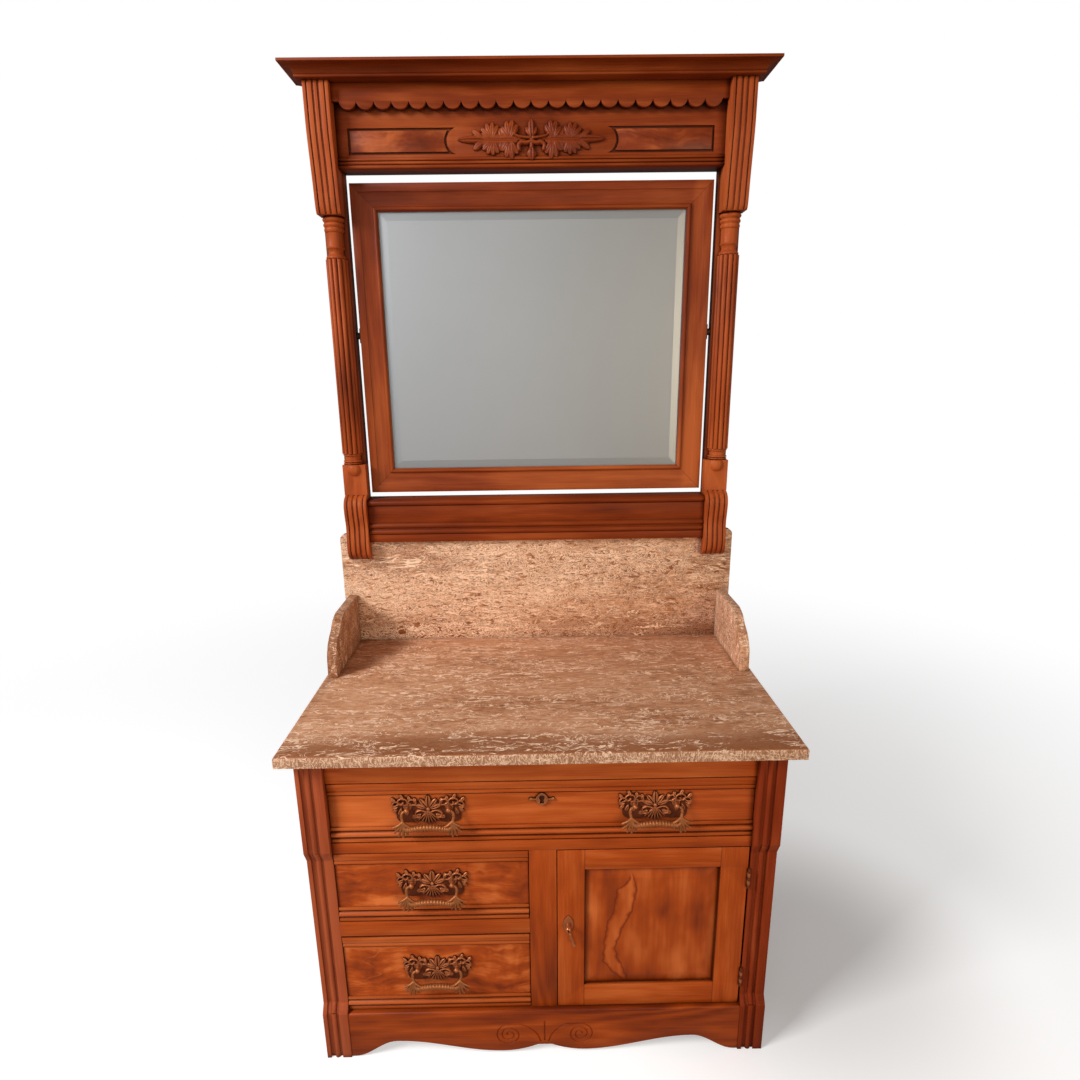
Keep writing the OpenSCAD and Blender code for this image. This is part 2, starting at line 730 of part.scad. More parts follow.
module door_frame() color(wood) seat() difference() {
    box(door_x0, door_x1, face_y, face_y + door_t, door_z0, door_z1);
    box(door_x0 + door_stile_w, door_x1 - door_stile_w, face_y - 1, face_y + door_t + 1,
        door_z0 + door_low_h, door_z1 - door_top_h);
    box(door_x0 + door_stile_w - groove_d, door_x1 - door_stile_w + groove_d,
        face_y + 7, face_y + 13, door_z0 + door_low_h - groove_d, door_z1 - door_top_h + groove_d);
    // recess for the inside leaf of each hinge
    for (z = [low_hinge_z, high_hinge_z])
        box(door_x1 - 1, door_x1 + 1, face_y - 1, face_y + door_t + 1, z - hinge_h / 2, z + hinge_h / 2);
}

// raised panel: a flat tongue in the frame's groove and a bevelled field
module door_panel() color(wood) seat() {
    x0 = door_x0 + door_stile_w;
    x1 = door_x1 - door_stile_w;
    z0 = door_z0 + door_low_h;
    z1 = door_z1 - door_top_h;
    tongue = groove_d - 1;
    box(x0 - tongue, x1 + tongue, face_y + 7.5, face_y + 12.5, z0 - tongue, z1 + tongue);
    hull() {
        box(x0 + 1, x1 - 1, face_y + 7.4, face_y + 7.6, z0 + 1, z1 - 1);
        box(x0 + bevel_w, x1 - bevel_w, face_y + 2.5, face_y + 2.7, z0 + bevel_w, z1 - bevel_w);
    }
}

knuckle_n = 5;
knuckle_h = hinge_h / knuckle_n;

module hinges_fixed() color(brass) seat() for (z = [low_hinge_z, high_hinge_z])
    translate([hinge_x, hinge_y, z - hinge_h / 2]) {
        cylinder(h = hinge_h, r = hinge_pin_r);
        for (k = [0 : 2 : knuckle_n - 1]) translate([0, 0, k * knuckle_h]) {
            cylinder(h = knuckle_h - 0.3, r = knuckle_r);
            translate([0.5, 0, 0]) cube([hinge_gap / 2 - 0.5, door_t, knuckle_h - 0.3]);
        }
        translate([0.5, knuckle_r + 1, 0]) cube([hinge_gap / 2 - 0.5, door_t - 4, hinge_h]);
    }

// the moving hinge leaves and the pull's plate and ball, all fixed to the door
module door_fittings() color(brass) seat() {
    for (z = [low_hinge_z, high_hinge_z]) translate([hinge_x, hinge_y, z - hinge_h / 2]) {
        for (k = [1 : 2 : knuckle_n - 1]) translate([0, 0, k * knuckle_h]) difference() {
            union() {
                cylinder(h = knuckle_h - 0.3, r = knuckle_r);
                translate([-hinge_gap / 2 - 0.8, 0, 0]) cube([hinge_gap / 2, door_t, knuckle_h - 0.3]);
            }
            translate([0, 0, -1]) cylinder(h = knuckle_h + 2, r = hinge_pin_r + pin_gap);
        }
        translate([-hinge_gap / 2 - 1, knuckle_r + 1, 0])
            cube([hinge_gap / 2 + 0.2, door_t - 4, hinge_h]);
    }
    translate([drop_x, 0, drop_z]) {
        along_y(face_y - 1.5, face_y) {
            rotate(90) translate([-21, 0]) leaf(42, 20);
            circle(r = 10);
        }
        difference() {
            union() {
                rod([0, face_y - 1.5, 0], [0, drop_pivot_y + 3, 0], 5, 3.4);
                translate([0, drop_pivot_y, 0]) rotate(45) sphere(r = 6.5, $fn = 32);
            }
            rotate([0, -drop_tilt, 0]) {
                box(-1.9, 1.9, drop_pivot_y - 8, drop_pivot_y + 3.6, -8, 3.6);
                translate([-9, drop_pivot_y, 0]) rotate([0, 90, 0])
                    cylinder(h = 18, r = bail_pin_r + pin_gap, $fn = 24);
            }
        }
    }
}

// the drop hangs on a pin across the ball
module door_drop() color(brass) seat() translate([drop_x, drop_pivot_y, drop_z])
    rotate([0, -drop_tilt, 0]) {
        translate([-5.4, 0, 0]) rotate([0, 90, 0]) cylinder(h = 10.8, r = bail_pin_r, $fn = 24);
        rotate([0, 90, 0]) translate([0, 0, -1.6]) cylinder(h = 3.2, r = 3, $fn = 24);
        rod([0, 0, -2], [0, 0, -12], 1.5, 1.8);
        translate([0, 0, -12]) sphere(r = 3, $fn = 24);
        rod([0, 0, -12], [0, 0, -drop_len + 4], 2, 3.4);
        translate([0, 0, -drop_len + 3]) sphere(r = 3.8, $fn = 24);
    }

// ---------- marble ----------

module marble_top() color(marble) seat() difference() {
    intersection() {
        translate([0, case_d, case_h]) rotate(180)
            along_x(-half_w - slab_over, half_w + slab_over) worn_edge(case_d + slab_over);
        along_y(-slab_over - 1, case_d + 1) translate([0, case_h])
            both_sides() worn_edge(half_w + slab_over);
    }
    box(-splash_w / 2 - 1, splash_w / 2 + 1, splash_y, case_d + 1, slab_z1 - splash_seat, slab_z1 + 1);
    both_sides() box(side_splash_x, side_splash_x + side_splash_t, splash_y - side_splash_len,
        splash_y + 1, slab_z1 - splash_seat, slab_z1 + 1);
}

// a slab's section with a rounded upper arris, w long from the origin
module worn_edge(w) {
    square([w - arris_r, slab_t]);
    square([w, slab_t - arris_r]);
    translate([w - arris_r, slab_t - arris_r]) circle(r = arris_r);
}

module marble_backsplash() color(marble) seat() along_y(splash_y, case_d) {
    corner_r = 12;
    w = splash_w / 2;
    z1 = slab_z1 + splash_h;
    z0 = slab_z1 - splash_seat;
    polygon(concat([[-w, z0], [w, z0]],
        arc(w - corner_r, z1 - corner_r, corner_r, 0, 90, 6),
        arc(corner_r - w, z1 - corner_r, corner_r, 90, 180, 6)));
}

module side_splash(s) {
    foot_y = splash_y - side_splash_len;
    h = side_splash_h;
    front = smooth([[foot_y, h * 0.08], [foot_y + 1, h * 0.22], [foot_y + 5, h * 0.44], [foot_y + 21, h * 0.65],
        [foot_y + 45, h * 0.79], [foot_y + 63, h * 0.925], [foot_y + 88, h]], 4);
    x0 = s > 0 ? side_splash_x : -side_splash_x - side_splash_t;
    translate([0, 0, slab_z1]) along_x(x0, x0 + side_splash_t)
        polygon(concat([[foot_y, -splash_seat]], front, [[splash_y, h], [splash_y, -splash_seat]]));
}

module marble_side_left() color(marble) seat() side_splash(-1);

module marble_side_right() color(marble) seat() side_splash(1);

// ---------- harp ----------

module harp_stile() difference() {
    box(open_x, open_x + harp_stile_w, stile_y, harp_back, slab_z1 - harp_foot, harp_z1);
    translate([open_x - 1, mirror_mid_y, pivot_z]) rotate([0, 90, 0])
        cylinder(h = 26, r = mirror_pin_r + pin_gap);
    box(open_x - 1, open_x + 2.5, mirror_mid_y - 8, mirror_mid_y + 8, pivot_z - 17, pivot_z + 17);
}

module harp_stile_left() color(dark_wood) seat() mirror([1, 0, 0]) harp_stile();

module harp_stile_right() color(dark_wood) seat() harp_stile();

// five raised strips across a piece's width: edge, flat, bead, flat, edge
strips = [[0, 0.125], [0.175, 0.355], [0.435, 0.565], [0.645, 0.825], [0.875, 1]];

// an outline in Y and Z run across the width, with four grooves in its face
module reeded(mid) {
    x0 = mid - flare_w / 2;
    along_x(x0, x0 + flare_w) translate([reed_depth, 0]) children();
    for (s = strips) along_x(x0 + s[0] * flare_w, x0 + s[1] * flare_w) children();
}

module flared_post() intersection() {
    reeded(flare_mid) {
        face = smooth([[22, 0], [17, 14], [13, 56], [8, 96], [1.5, 150], [0, 200], [0, flare_h]], 4);
        polygon(concat([for (p = face) [flare_y + p[0], flare_z + p[1]]],
            [[stile_y, harp_z1], [stile_y, flare_z]]));
    }
    box(open_x, open_x + 2 * flare_w, flare_y - 5, stile_y, flare_z, harp_z1);
}

module flared_post_left() color(dark_wood) seat() mirror([1, 0, 0]) flared_post();

module flared_post_right() color(dark_wood) seat() flared_post();

// half of a turned bead or hollow in a revolved profile, from radius r0 out to r1 and back
function turned(z0, z1, r0, r1) =
    [for (k = [0 : 6]) [r0 + (r1 - r0) * sin(30 * k), lerp(z0, z1, k / 6)]];

// turned column: rings at both ends and a reeded shaft, half of it standing out of the stile
module half_column() intersection() {
    translate([open_x + 28.5, stile_y - 4, column_z]) {
        r = column_r;
        h = column_h;
        shaft_r = r - 3.5;
        reed_r = shaft_r * sin(90 / (reed_count - 1)) + 0.2;
        foot = concat([[0, 0]], turned(0, 5, r - 3, r), turned(5, 10, r - 3, r),
            [[r - 4, 10], [r - 4, 20]], turned(20, 27, r - 3, r - 0.5), [[0, 27]]);
        head = concat([[0, h - 88]], turned(h - 88, h - 79, r - 3, r - 0.5),
            turned(h - 79, h - 66, r - 4, r - 6.5), turned(h - 66, h - 61, r - 4, r - 2),
            [[r - 4, h - 61], [r - 4, h - 32]], turned(h - 32, h - 22, r - 3, r - 1),
            turned(h - 22, h - 12, r - 3, r), turned(h - 12, h, r - 3, r + 1), [[0, h]]);
        rotate_extrude() polygon(foot);
        rotate_extrude() polygon(head);
        translate([0, 0, 26]) linear_extrude(h - 113) {
            circle(r = shaft_r);
            for (k = [0 : reed_count - 1]) {
                a = 180 + 180 * k / (reed_count - 1);
                translate([shaft_r * cos(a), shaft_r * sin(a)]) circle(r = reed_r, $fn = 24);
            }
        }
    }
    box(open_x, open_x + 60, stile_y - 40, stile_y, column_z, column_z + column_h);
}

module half_column_left() color(dark_wood) seat() mirror([1, 0, 0]) half_column();

module half_column_right() color(dark_wood) seat() half_column();

// block under the column and the scroll below it, cut from one piece of wood
module scroll_bracket() {
    block_y = stile_y - 25;
    face = smooth([[block_y, 0], [block_y - 15, -9], [block_y - 22, -25], [block_y - 20, -50],
        [block_y - 16, -74], [block_y - 18, -96], [block_y - 21, -121], [block_y - 18, -142],
        [block_y - 6, -155], [block_y + 4, -bracket_h]], 4);
    difference() {
        union() {
            reeded(bracket_mid) translate([0, block_z])
                polygon(concat(face, [[stile_y, -bracket_h], [stile_y, 0]]));
            box(bracket_mid - 27, bracket_mid + 27, block_y, stile_y, block_z, column_z);
            // carved drop on the block's face
            intersection() {
                translate([bracket_mid, block_y + 12, column_z - 11]) sphere(r = 20, $fn = 40);
                box(bracket_mid - 20, bracket_mid + 20, block_y - 10, block_y + 1, block_z, column_z);
            }
        }
        // room for the backsplash behind the scroll's lower end, and a flat back
        box(open_x - 10, open_x + 2 * flare_w, splash_y, stile_y + 10, block_z - bracket_h - 1,
            slab_z1 + splash_h);
        box(open_x - 10, open_x + 2 * flare_w, stile_y, stile_y + 10, block_z - bracket_h - 1,
            column_z + 1);
    }
}

module scroll_bracket_left() color(dark_wood) seat() mirror([1, 0, 0]) scroll_bracket();

module scroll_bracket_right() color(dark_wood) seat() scroll_bracket();

// bottom rail: beads above and below a flat, rebated over the backsplash
module harp_bottom_rail() color(dark_wood) seat() {
    z1 = open_z0;
    z0 = z1 - harp_rail_h;
    f = rail_face;
    bracket_in = bracket_mid - 27;
    splash_top = slab_z1 + splash_h;
    difference() {
        union() {
            along_x(-bracket_in, bracket_in)
                polygon([[f + 3, z0], [f + 3, z0 + 18], [f + 5, z0 + 18], [f + 5, z0 + 48],
                    [f + 4, z0 + 48], [f + 4, z1 - 15], [f + 6, z1 - 15], [f + 6, z1],
                    [stile_y, z1], [stile_y, z0]]);
            for (z = [z0 + 25, z0 + 40])
                translate([0, f + 7, z]) rotate([0, 90, 0])
                    cylinder(h = 2 * bracket_in, r = 6.5, center = true);
            translate([0, f + 7, z1 - 7.5]) rotate([0, 90, 0])
                cylinder(h = 2 * bracket_in, r = 7, center = true);
            box(-bracket_in, bracket_in, stile_y - 8, harp_back, splash_top, z1);
            box(-open_x, open_x, stile_y, harp_back, splash_top, z1);
        }
        box(-half_w, half_w, splash_y, stile_y, z0 - 1, splash_top);
    }
}

// frieze: a board with reeds at its foot and two sunk panels beside the carving
module frieze_board() color(dark_wood) seat() {
    panel_in = carving_w / 2 + 3;
    panel_out = flare_x0 - 24;
    panel_z0 = panel_mid_z - frieze_panel_h / 2;
    panel_z1 = panel_mid_z + frieze_panel_h / 2;
    difference() {
        box(-flare_x0, flare_x0, frieze_y, stile_y, open_z1, harp_z1);
        both_sides() along_y(frieze_y - 1, frieze_y + 4) difference() {
            frieze_panel(panel_in, panel_out, panel_z0, panel_z1, 0);
            frieze_panel(panel_in, panel_out, panel_z0, panel_z1, 5);
        }
    }
    box(-open_x, open_x, stile_y, harp_back, open_z1, harp_z1);
    for (k = [0 : 2])
        translate([0, frieze_y + 0.5, open_z1 + 3.6 + 7 * k]) rotate([0, 90, 0])
            cylinder(h = 2 * flare_x0, r = 3.6, center = true);
}

// outline of one frieze panel, hollowed at its inner end
module frieze_panel(x0, x1, z0, z1, inset) difference() {
    translate([x0 + inset, z0 + inset]) square([x1 - x0 - 2 * inset, z1 - z0 - 2 * inset]);
    translate([x0 - 8, (z0 + z1) / 2]) circle(r = 26 + inset);
}

// carved spray: a middle tuft with a spray of lobed leaves to each side
module leaf_carving() color(dark_wood) seat() translate([0, 0, panel_mid_z]) {
    end_r = carving_h / 2;
    end_x = carving_w / 2 - end_r;
    pitch = end_x / 6;
    along_y(frieze_y - 2, frieze_y) {
        translate([-end_x, -end_r]) square([2 * end_x, carving_h]);
        both_sides() translate([end_x, 0]) circle(r = end_r);
    }
    along_y(frieze_y - 7, frieze_y) both_sides() {
        translate([12, 0]) rotate(4) leaf(end_x, 11);
        for (k = [0 : 4]) {
            translate([20 + pitch * k, 1.5 * k]) rotate(34) leaf(34 - 3 * k, 12);
            translate([22 + pitch * k, 1.5 * k]) rotate(-30) leaf(32 - 3 * k, 12);
        }
    }
    along_y(frieze_y - 10, frieze_y) {
        for (a = [30 : 40 : 150]) rotate(a) leaf(29, 15);
        for (a = [-125 : 35 : -55]) rotate(a) leaf(27, 15);
        circle(r = 9);
    }
}

module valance() color(dark_wood) seat() along_y(valance_y, valance_y + valance_t) {
    run = flare_x0 - 14;
    pitch = 2 * run / scallop_count;
    lobe_r = (pitch * pitch / 4 + scallop_d * scallop_d) / (2 * scallop_d);
    translate([-flare_x0, harp_z1 - valance_h]) square([2 * flare_x0, valance_h]);
    for (k = [0 : scallop_count - 1])
        translate([-run + pitch * (k + 0.5), harp_z1 - valance_h - scallop_d + lobe_r])
            circle(r = lobe_r);
}

// section of the crown: u is the overhang, measured outwards, and v the height
module crown_section() {
    a = crown_low;
    b = crown_top;
    h = cornice_h;
    polygon(concat([[-crown_in, 0], [a - 3, 0]], arc(a - 3, 3, 3, -90, 60, 5),
        curve3([a, h * 0.28], [a + 3, h * 0.72], [b - 3, h * 0.79], 6),
        [[b, h * 0.79], [b, h], [-crown_in, h]]));
}

module cornice() color(dark_wood) seat() translate([0, 0, harp_z1]) {
    w = flare_x0 + flare_w;
    reach = w + crown_top;
    front = flare_y - crown_top;
    inner = crown_top + crown_in;
    // front run, mitred at both ends
    intersection() {
        translate([0, flare_y, 0]) mirror([0, 1, 0]) along_x(-reach, reach) crown_section();
        linear_extrude(cornice_h)
            polygon([[-reach, front], [reach, front], [reach - inner, front + inner],
                [inner - reach, front + inner]]);
    }
    both_sides() intersection() {
        along_y(front, harp_back) translate([w, 0]) crown_section();
        linear_extrude(cornice_h)
            polygon([[reach, front], [reach, harp_back], [reach - inner, harp_back],
                [reach - inner, front + inner]]);
    }
    box(crown_in / 2 - w, w - crown_in / 2, flare_y + crown_in / 2, harp_back, 0, cornice_h);
}

module mirror_pivot_plates() color(steel) seat() both_sides() difference() {
    box(open_x, open_x + 2.5, mirror_mid_y - 8, mirror_mid_y + 8, pivot_z - 17, pivot_z + 17);
    translate([open_x - 1, mirror_mid_y, pivot_z]) rotate([0, 90, 0])
        cylinder(h = 6, r = mirror_pin_r + pin_gap);
}

// ---------- mirror ----------

// section of a frame member: u inwards from the outer edge, v from the face back
module member_section() {
    m = mirror_member;
    polygon(concat([[0, 0], [m * 0.3, 0]],
        curve3([m * 0.3, 1], [m * 0.55, 5.5], [m * 0.8, 6], 6),
        arc(m * 0.9, 4, m * 0.07, 180, 360, 6),
        [[m, 5], [m, lip_t], [m - rebate, lip_t], [m - rebate, mirror_t], [0, mirror_t]]));
}

// one mitred member, its outer edge on the origin, len long
module member(len) intersection() {
    translate([-len / 2, 0, 0]) rotate([90, 0, 90]) linear_extrude(len)
        mirror([0, 1]) member_section();
    m = mirror_member;
    translate([0, 0, -mirror_t]) linear_extrude(mirror_t)
        polygon([[-len / 2, 0], [len / 2, 0], [len / 2 - m, m], [m - len / 2, m]]);
}

module mirror_frame() color(wood) seat()
    translate([0, mirror_y, mirror_z0 + mirror_h / 2]) rotate([90, 0, 0]) {
        for (a = [0, 180]) {
            rotate(a) translate([0, -mirror_h / 2, 0]) member(2 * mirror_x);
            rotate(a + 90) translate([0, -mirror_x, 0]) member(mirror_h);
        }
    }

module in_rebate(gap, y0, y1)
    box(gap - sight_x - rebate, sight_x + rebate - gap, y0, y1,
        mirror_z0 + mirror_member - rebate + gap, mirror_z0 + mirror_h - mirror_member + rebate - gap);

module mirror_glass() color("silver") seat() hull() {
    in_rebate(1, mirror_y + lip_t + 2, mirror_y + lip_t + glass_t);
    in_rebate(rebate + glass_bevel, mirror_y + lip_t, mirror_y + lip_t + 0.2);
}

module mirror_backboard() color(inner_wood) seat()
    in_rebate(0.5, mirror_y + lip_t + glass_t, mirror_y + mirror_t - 1);

module mirror_pivots() color(steel) seat() both_sides() {
    translate([mirror_x, mirror_mid_y, pivot_z]) rotate([0, 90, 0]) {
        cylinder(h = mirror_gap + 18, r = mirror_pin_r);
        cylinder(h = mirror_gap - 0.5, r = 7.5);
    }
    box(mirror_x, mirror_x + 2.5, mirror_mid_y - 8, mirror_mid_y + 8, pivot_z - 16, pivot_z + 16);
}

// ---------- nodes ----------

front_post_left();
front_post_right();
rear_posts();
side_rails();
side_panels();
top_rail();
drawer_rail();
small_drawer_rail();
centre_stile();
apron();
bottom_board();
partition();
back_panel();
back_rail();
web_frame();
drawer_runners();
door_stop();
marble_top();
marble_backsplash();
marble_side_left();
marble_side_right();
harp_stile_left();
harp_stile_right();
flared_post_left();
flared_post_right();
half_column_left();
half_column_right();
scroll_bracket_left();
scroll_bracket_right();
harp_bottom_rail();
frieze_board();
leaf_carving();
valance();
cornice();
mirror_pivot_plates();
hinges_fixed();
mirror_frame();
mirror_glass();
mirror_backboard();
mirror_pivots();
top_drawer_front();
top_drawer_box();
drawer_lock();
escutcheon();
top_pull_plates();
lock_bolt();
top_bail_left();
top_bail_right();
upper_drawer_front();
upper_drawer_box();
upper_pull_plate();
upper_bail();
lower_drawer_front();
lower_drawer_box();
lower_pull_plate();
lower_bail();
door_frame();
door_panel();
door_fittings();
door_drop();
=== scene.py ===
"""Models and finishes a washstand with a marble top and a tilting mirror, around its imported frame."""

import json
import math

import bpy
import numpy as np
from bpy.props import FloatProperty, FloatVectorProperty, IntProperty, PointerProperty
from mathutils import Matrix, Vector

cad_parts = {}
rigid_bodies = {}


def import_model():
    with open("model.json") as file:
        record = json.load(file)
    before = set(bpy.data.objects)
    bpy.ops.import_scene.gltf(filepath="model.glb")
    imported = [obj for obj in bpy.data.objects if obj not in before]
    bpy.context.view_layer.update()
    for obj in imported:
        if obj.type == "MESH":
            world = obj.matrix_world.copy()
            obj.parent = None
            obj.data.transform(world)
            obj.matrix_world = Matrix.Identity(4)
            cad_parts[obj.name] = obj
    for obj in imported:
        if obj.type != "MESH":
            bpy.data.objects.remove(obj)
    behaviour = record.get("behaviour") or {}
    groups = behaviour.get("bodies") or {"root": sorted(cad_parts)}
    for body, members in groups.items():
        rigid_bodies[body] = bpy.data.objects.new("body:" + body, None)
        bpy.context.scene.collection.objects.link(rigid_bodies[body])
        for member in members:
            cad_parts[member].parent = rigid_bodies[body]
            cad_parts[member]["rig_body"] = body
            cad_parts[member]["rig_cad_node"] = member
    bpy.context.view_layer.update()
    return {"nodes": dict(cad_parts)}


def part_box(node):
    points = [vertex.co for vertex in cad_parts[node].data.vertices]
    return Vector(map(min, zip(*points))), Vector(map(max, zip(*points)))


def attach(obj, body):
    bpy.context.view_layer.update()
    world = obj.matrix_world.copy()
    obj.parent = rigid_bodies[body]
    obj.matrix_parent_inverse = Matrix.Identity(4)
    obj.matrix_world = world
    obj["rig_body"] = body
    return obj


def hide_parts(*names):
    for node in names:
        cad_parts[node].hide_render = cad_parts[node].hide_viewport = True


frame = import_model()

bl_info = {
    "name": "Marble-topped washstand",
    "version": (1, 0, 0),
    "blender": (4, 5, 0),
    "location": "3D View > Sidebar > Washstand",
    "description": "Models a washstand with a marble top, brass bail pulls and a tilting mirror",
    "category": "Add Mesh",
}

MM = 0.001
ACROSS, DEEP, UP = 0, 1, 2
GRAIN_X = (1, 0, 0)
GRAIN_Y = (0, 1, 0)
GRAIN_Z = (0, 0, 1)
STAGE_R = 7.0
LAMP_AIM = Vector((0, 0, 0.9))
LEAST_FIELD = 0.004  # the least area of a drawer front's sunk field, in square metres
IRON_ARRIS = 0.25 * MM
BRASS_ARRIS = 0.3 * MM
# a pull's plate: its thickness, its middle from the end and the foot of its box, its studs' radius
PLATE_T, PLATE_IN, PLATE_UP, STUD_R = 0.9 * MM, 66 * MM, 17 * MM, 4.6 * MM
# the escutcheon: its thickness and the height of its middle
KEYPLATE_T, KEYPLATE_Z = 0.8 * MM, 600.5 * MM
CUT = -1.0  # the height, in a relief, of what is cut away

# The shapes that follow are in millimetres.
# The apron's cuts, across from its middle and up from the floor: a stem, and to each side an arm
# that ends in a spiral. The spiral starts at an angle in degrees and draws in by a share of its
# radius over a number of steps.
APRON_STEM = (34, 58, 84)
APRON_ARM = ((8, 31), (15, 50), (29, 66), (45, 75))
SPIRAL_X, SPIRAL_Z = 73, 50
SPIRAL_START, SPIRAL_SHRINK, SPIRAL_STEPS = 112, 0.84, 23
# A pull's plate from its middle: its studs; its leaf tips, each a root, a tip, a width, a share of the
# relief's height and a crease; and its scrolls, each a path, a half width and a share of the height.
STUD_X, STUD_Z = 39, 6
WING_LEAVES = (
    ((44, 20), (52, 34), 4.5, 0.9, 0.3), ((34, 18), (36, 30), 4.5, 0.8, 0.3),
    ((58, 16), (69, 26), 4.5, 0.9, 0.3), ((60, 8), (68, 7), 5, 0.8, 0.3),
    ((58, 4), (66, -6), 4.5, 0.8, 0.3), ((50, 4), (55, -11), 5, 0.8, 0.4),
    ((38, 4), (42, -12), 5, 0.7, 0.4), ((24, 12), (25, 26), 4.5, 0.8, 0.3),
    ((12, -8), (31, -17), 6, 0.9, 0.4))
WING_SCROLLS = (
    (((12, 8), (26, 11), (40, 9), (52, 13), (62, 9)), 2.4, 0.65),
    (((22, 10), (24, 20), (32, 23), (37, 17), (32, 13)), 1.9, 0.85),
    (((38, 9), (39, 21), (48, 26), (56, 20), (51, 13), (46, 17)), 2.1, 0.95),
    (((52, 12), (60, 19), (67, 12), (64, 4), (58, 7)), 1.9, 0.85),
    (((5, -3), (15, 0), (24, -5), (24, -13), (17, -15), (15, -9)), 2.3, 0.95))
# A bail from between its pivots: across, out and down along an arm and along the grip; then each
# claw finger's bend and tip, across and down.
BAIL_ARM = ((34, 0, 0), (43, 0.5, 0.5), (47.5, 2, 4), (48.5, 3, 10), (47, 5, 17), (46, 7, 24))
GRIP = ((-45, 8, 29), (-36, 9, 33), (-20, 9, 30.5), (0, 9, 29), (20, 9, 30.5), (36, 9, 33),
        (45, 8, 29))
CLAW = (((55, 24), (64, 29)), ((54, 30), (62, 39)), ((50, 33), (54, 46)), ((45, 34), (46, 48)),
        ((41, 33), (38, 44)), ((37, 25), (29, 30)))
# The flame in the door's veneer: height, middle and half width, as shares of the panel.
FLAME = ((0.02, 0.34, 0.0), (0.08, 0.31, 0.028), (0.16, 0.255, 0.050), (0.22, 0.222, 0.057),
         (0.33, 0.208, 0.040), (0.50, 0.245, 0.058), (0.64, 0.300, 0.066), (0.80, 0.325, 0.068),
         (0.85, 0.355, 0.030), (0.95, 0.350, 0.0))


def srgb(red, green, blue):
    """A colour given as it looks on a screen, 0 to 255, as linear light."""
    def linear(level):
        level /= 255
        return level / 12.92 if level <= 0.04045 else ((level + 0.055) / 1.055) ** 2.4
    return tuple(linear(level) for level in (red, green, blue))


def colour(name, description, *levels):
    """A colour that the panel shows."""
    return FloatVectorProperty(
        name=name, description=description, subtype="COLOR", size=3, min=0, max=1,
        default=srgb(*levels))


def length(name, description, default):
    """A length that the panel shows, in metres."""
    return FloatProperty(name=name, description=description, unit="LENGTH", default=default)


class WashstandSizes(bpy.types.PropertyGroup):
    """Sizes of what is modelled on the frame."""

    wood_arris: length("Wood arris", "Rounding of the joinery's edges", 0.8 * MM)
    turned_arris: length("Carved arris", "Rounding of the reeded and turned edges", 0.4 * MM)
    marble_arris: length("Marble arris", "Rounding of the marble's edges", 1.5 * MM)
    pull_relief: length("Pull relief", "Depth of the foliage on a pull's plate", 5.5 * MM)
    finger_r: length("Claw finger", "Radius of a claw finger on a bail", 2.3 * MM)
    grip_r: length("Grip", "Radius in the middle of a bail's grip", 6.0 * MM)
    carving_relief: length("Carving relief", "How far the carved spray stands out", 10.0 * MM)
    incised_r: length("Incised line", "Radius of the lines cut in the apron", 1.6 * MM)
    scroll_r: length("Apron scroll", "Radius of a spiral cut in the apron", 28 * MM)
    spiral_turns: FloatProperty(
        name="Spiral turns", description="Turns of a spiral cut in the apron", default=2.3)
    flutes: IntProperty(
        name="Flutes", description="Flutes of the fan under a pull's flower", default=7)
    veneer_edge: length("Veneer edge", "Least depth of a sunk veneered field", 1.0 * MM)


class WashstandFinishes(bpy.types.PropertyGroup):
    """Colours of the finishes, as they look in plain light."""

    front_light: colour("Front, light", "Light growth of the case's wood", 214, 112, 52)
    front_mid: colour("Front", "Body colour of the case's wood", 171, 71, 15)
    front_dark: colour("Front, dark", "Dark growth of the case's wood", 110, 38, 8)
    post_light: colour("Posts, light", "Light growth of the posts' wood", 178, 86, 48)
    post_mid: colour("Posts", "Body colour of the posts' wood", 138, 52, 22)
    post_dark: colour("Posts, dark", "Dark growth of the posts' wood", 88, 28, 10)
    flare_light: colour("Harp posts, light", "Light growth of the harp posts' wood", 204, 110, 54)
    flare_mid: colour("Harp posts", "Body colour of the harp posts' wood", 172, 78, 34)
    flare_dark: colour("Harp posts, dark", "Dark growth of the harp posts' wood", 84, 26, 10)
    harp_light: colour("Harp, light", "Light growth of the harp's wood", 178, 88, 38)
    harp_mid: colour("Harp", "Body colour of the harp's wood", 133, 53, 15)
    harp_dark: colour("Harp, dark", "Dark growth of the harp's wood", 84, 25, 5)
    inner_light: colour("Inner wood, light", "Light growth of the drawers' wood", 214, 178, 128)
    inner_mid: colour("Inner wood", "Body colour of the drawers' wood", 186, 146, 98)
    inner_dark: colour("Inner wood, dark", "Dark growth of the drawers' wood", 140, 100, 62)
    marble_mid: colour("Marble", "Body colour of the marble", 202, 141, 101)
    marble_dark: colour("Marble, dark", "Dark beds in the marble", 134, 78, 46)
    marble_vein: colour("Marble, veins", "Pale veins in the marble", 255, 216, 184)
    brass: colour("Brass", "Rubbed brass on the bails", 168, 101, 58)
    copper: colour("Copper", "Reddish metal of the plates and the small fittings", 190, 113, 69)
    brass_dark: colour("Brass, dark", "Tarnish in the pulls' hollows", 80, 25, 4)
    iron: colour("Iron", "Dark metal of the pivots and the lock", 70, 50, 40)
    hinge: colour("Hinges", "Worn metal of the door's hinges", 122, 62, 36)
    mirror: colour("Mirror", "Silvering of the mirror", 171, 174, 177)
    floor: colour("Floor", "Floor and backdrop", 232, 232, 233)


def sizes():
    return bpy.context.scene.washstand_sizes


def finishes():
    return bpy.context.scene.washstand_finishes


def growths(kind):
    """The light, middle and dark growth of a kind of wood."""
    return [tuple(getattr(finishes(), f"{kind}_{growth}")) for growth in ("light", "mid", "dark")]


def dimmed(shade, share):
    return tuple(part * share for part in shade)


# ---------- materials ----------

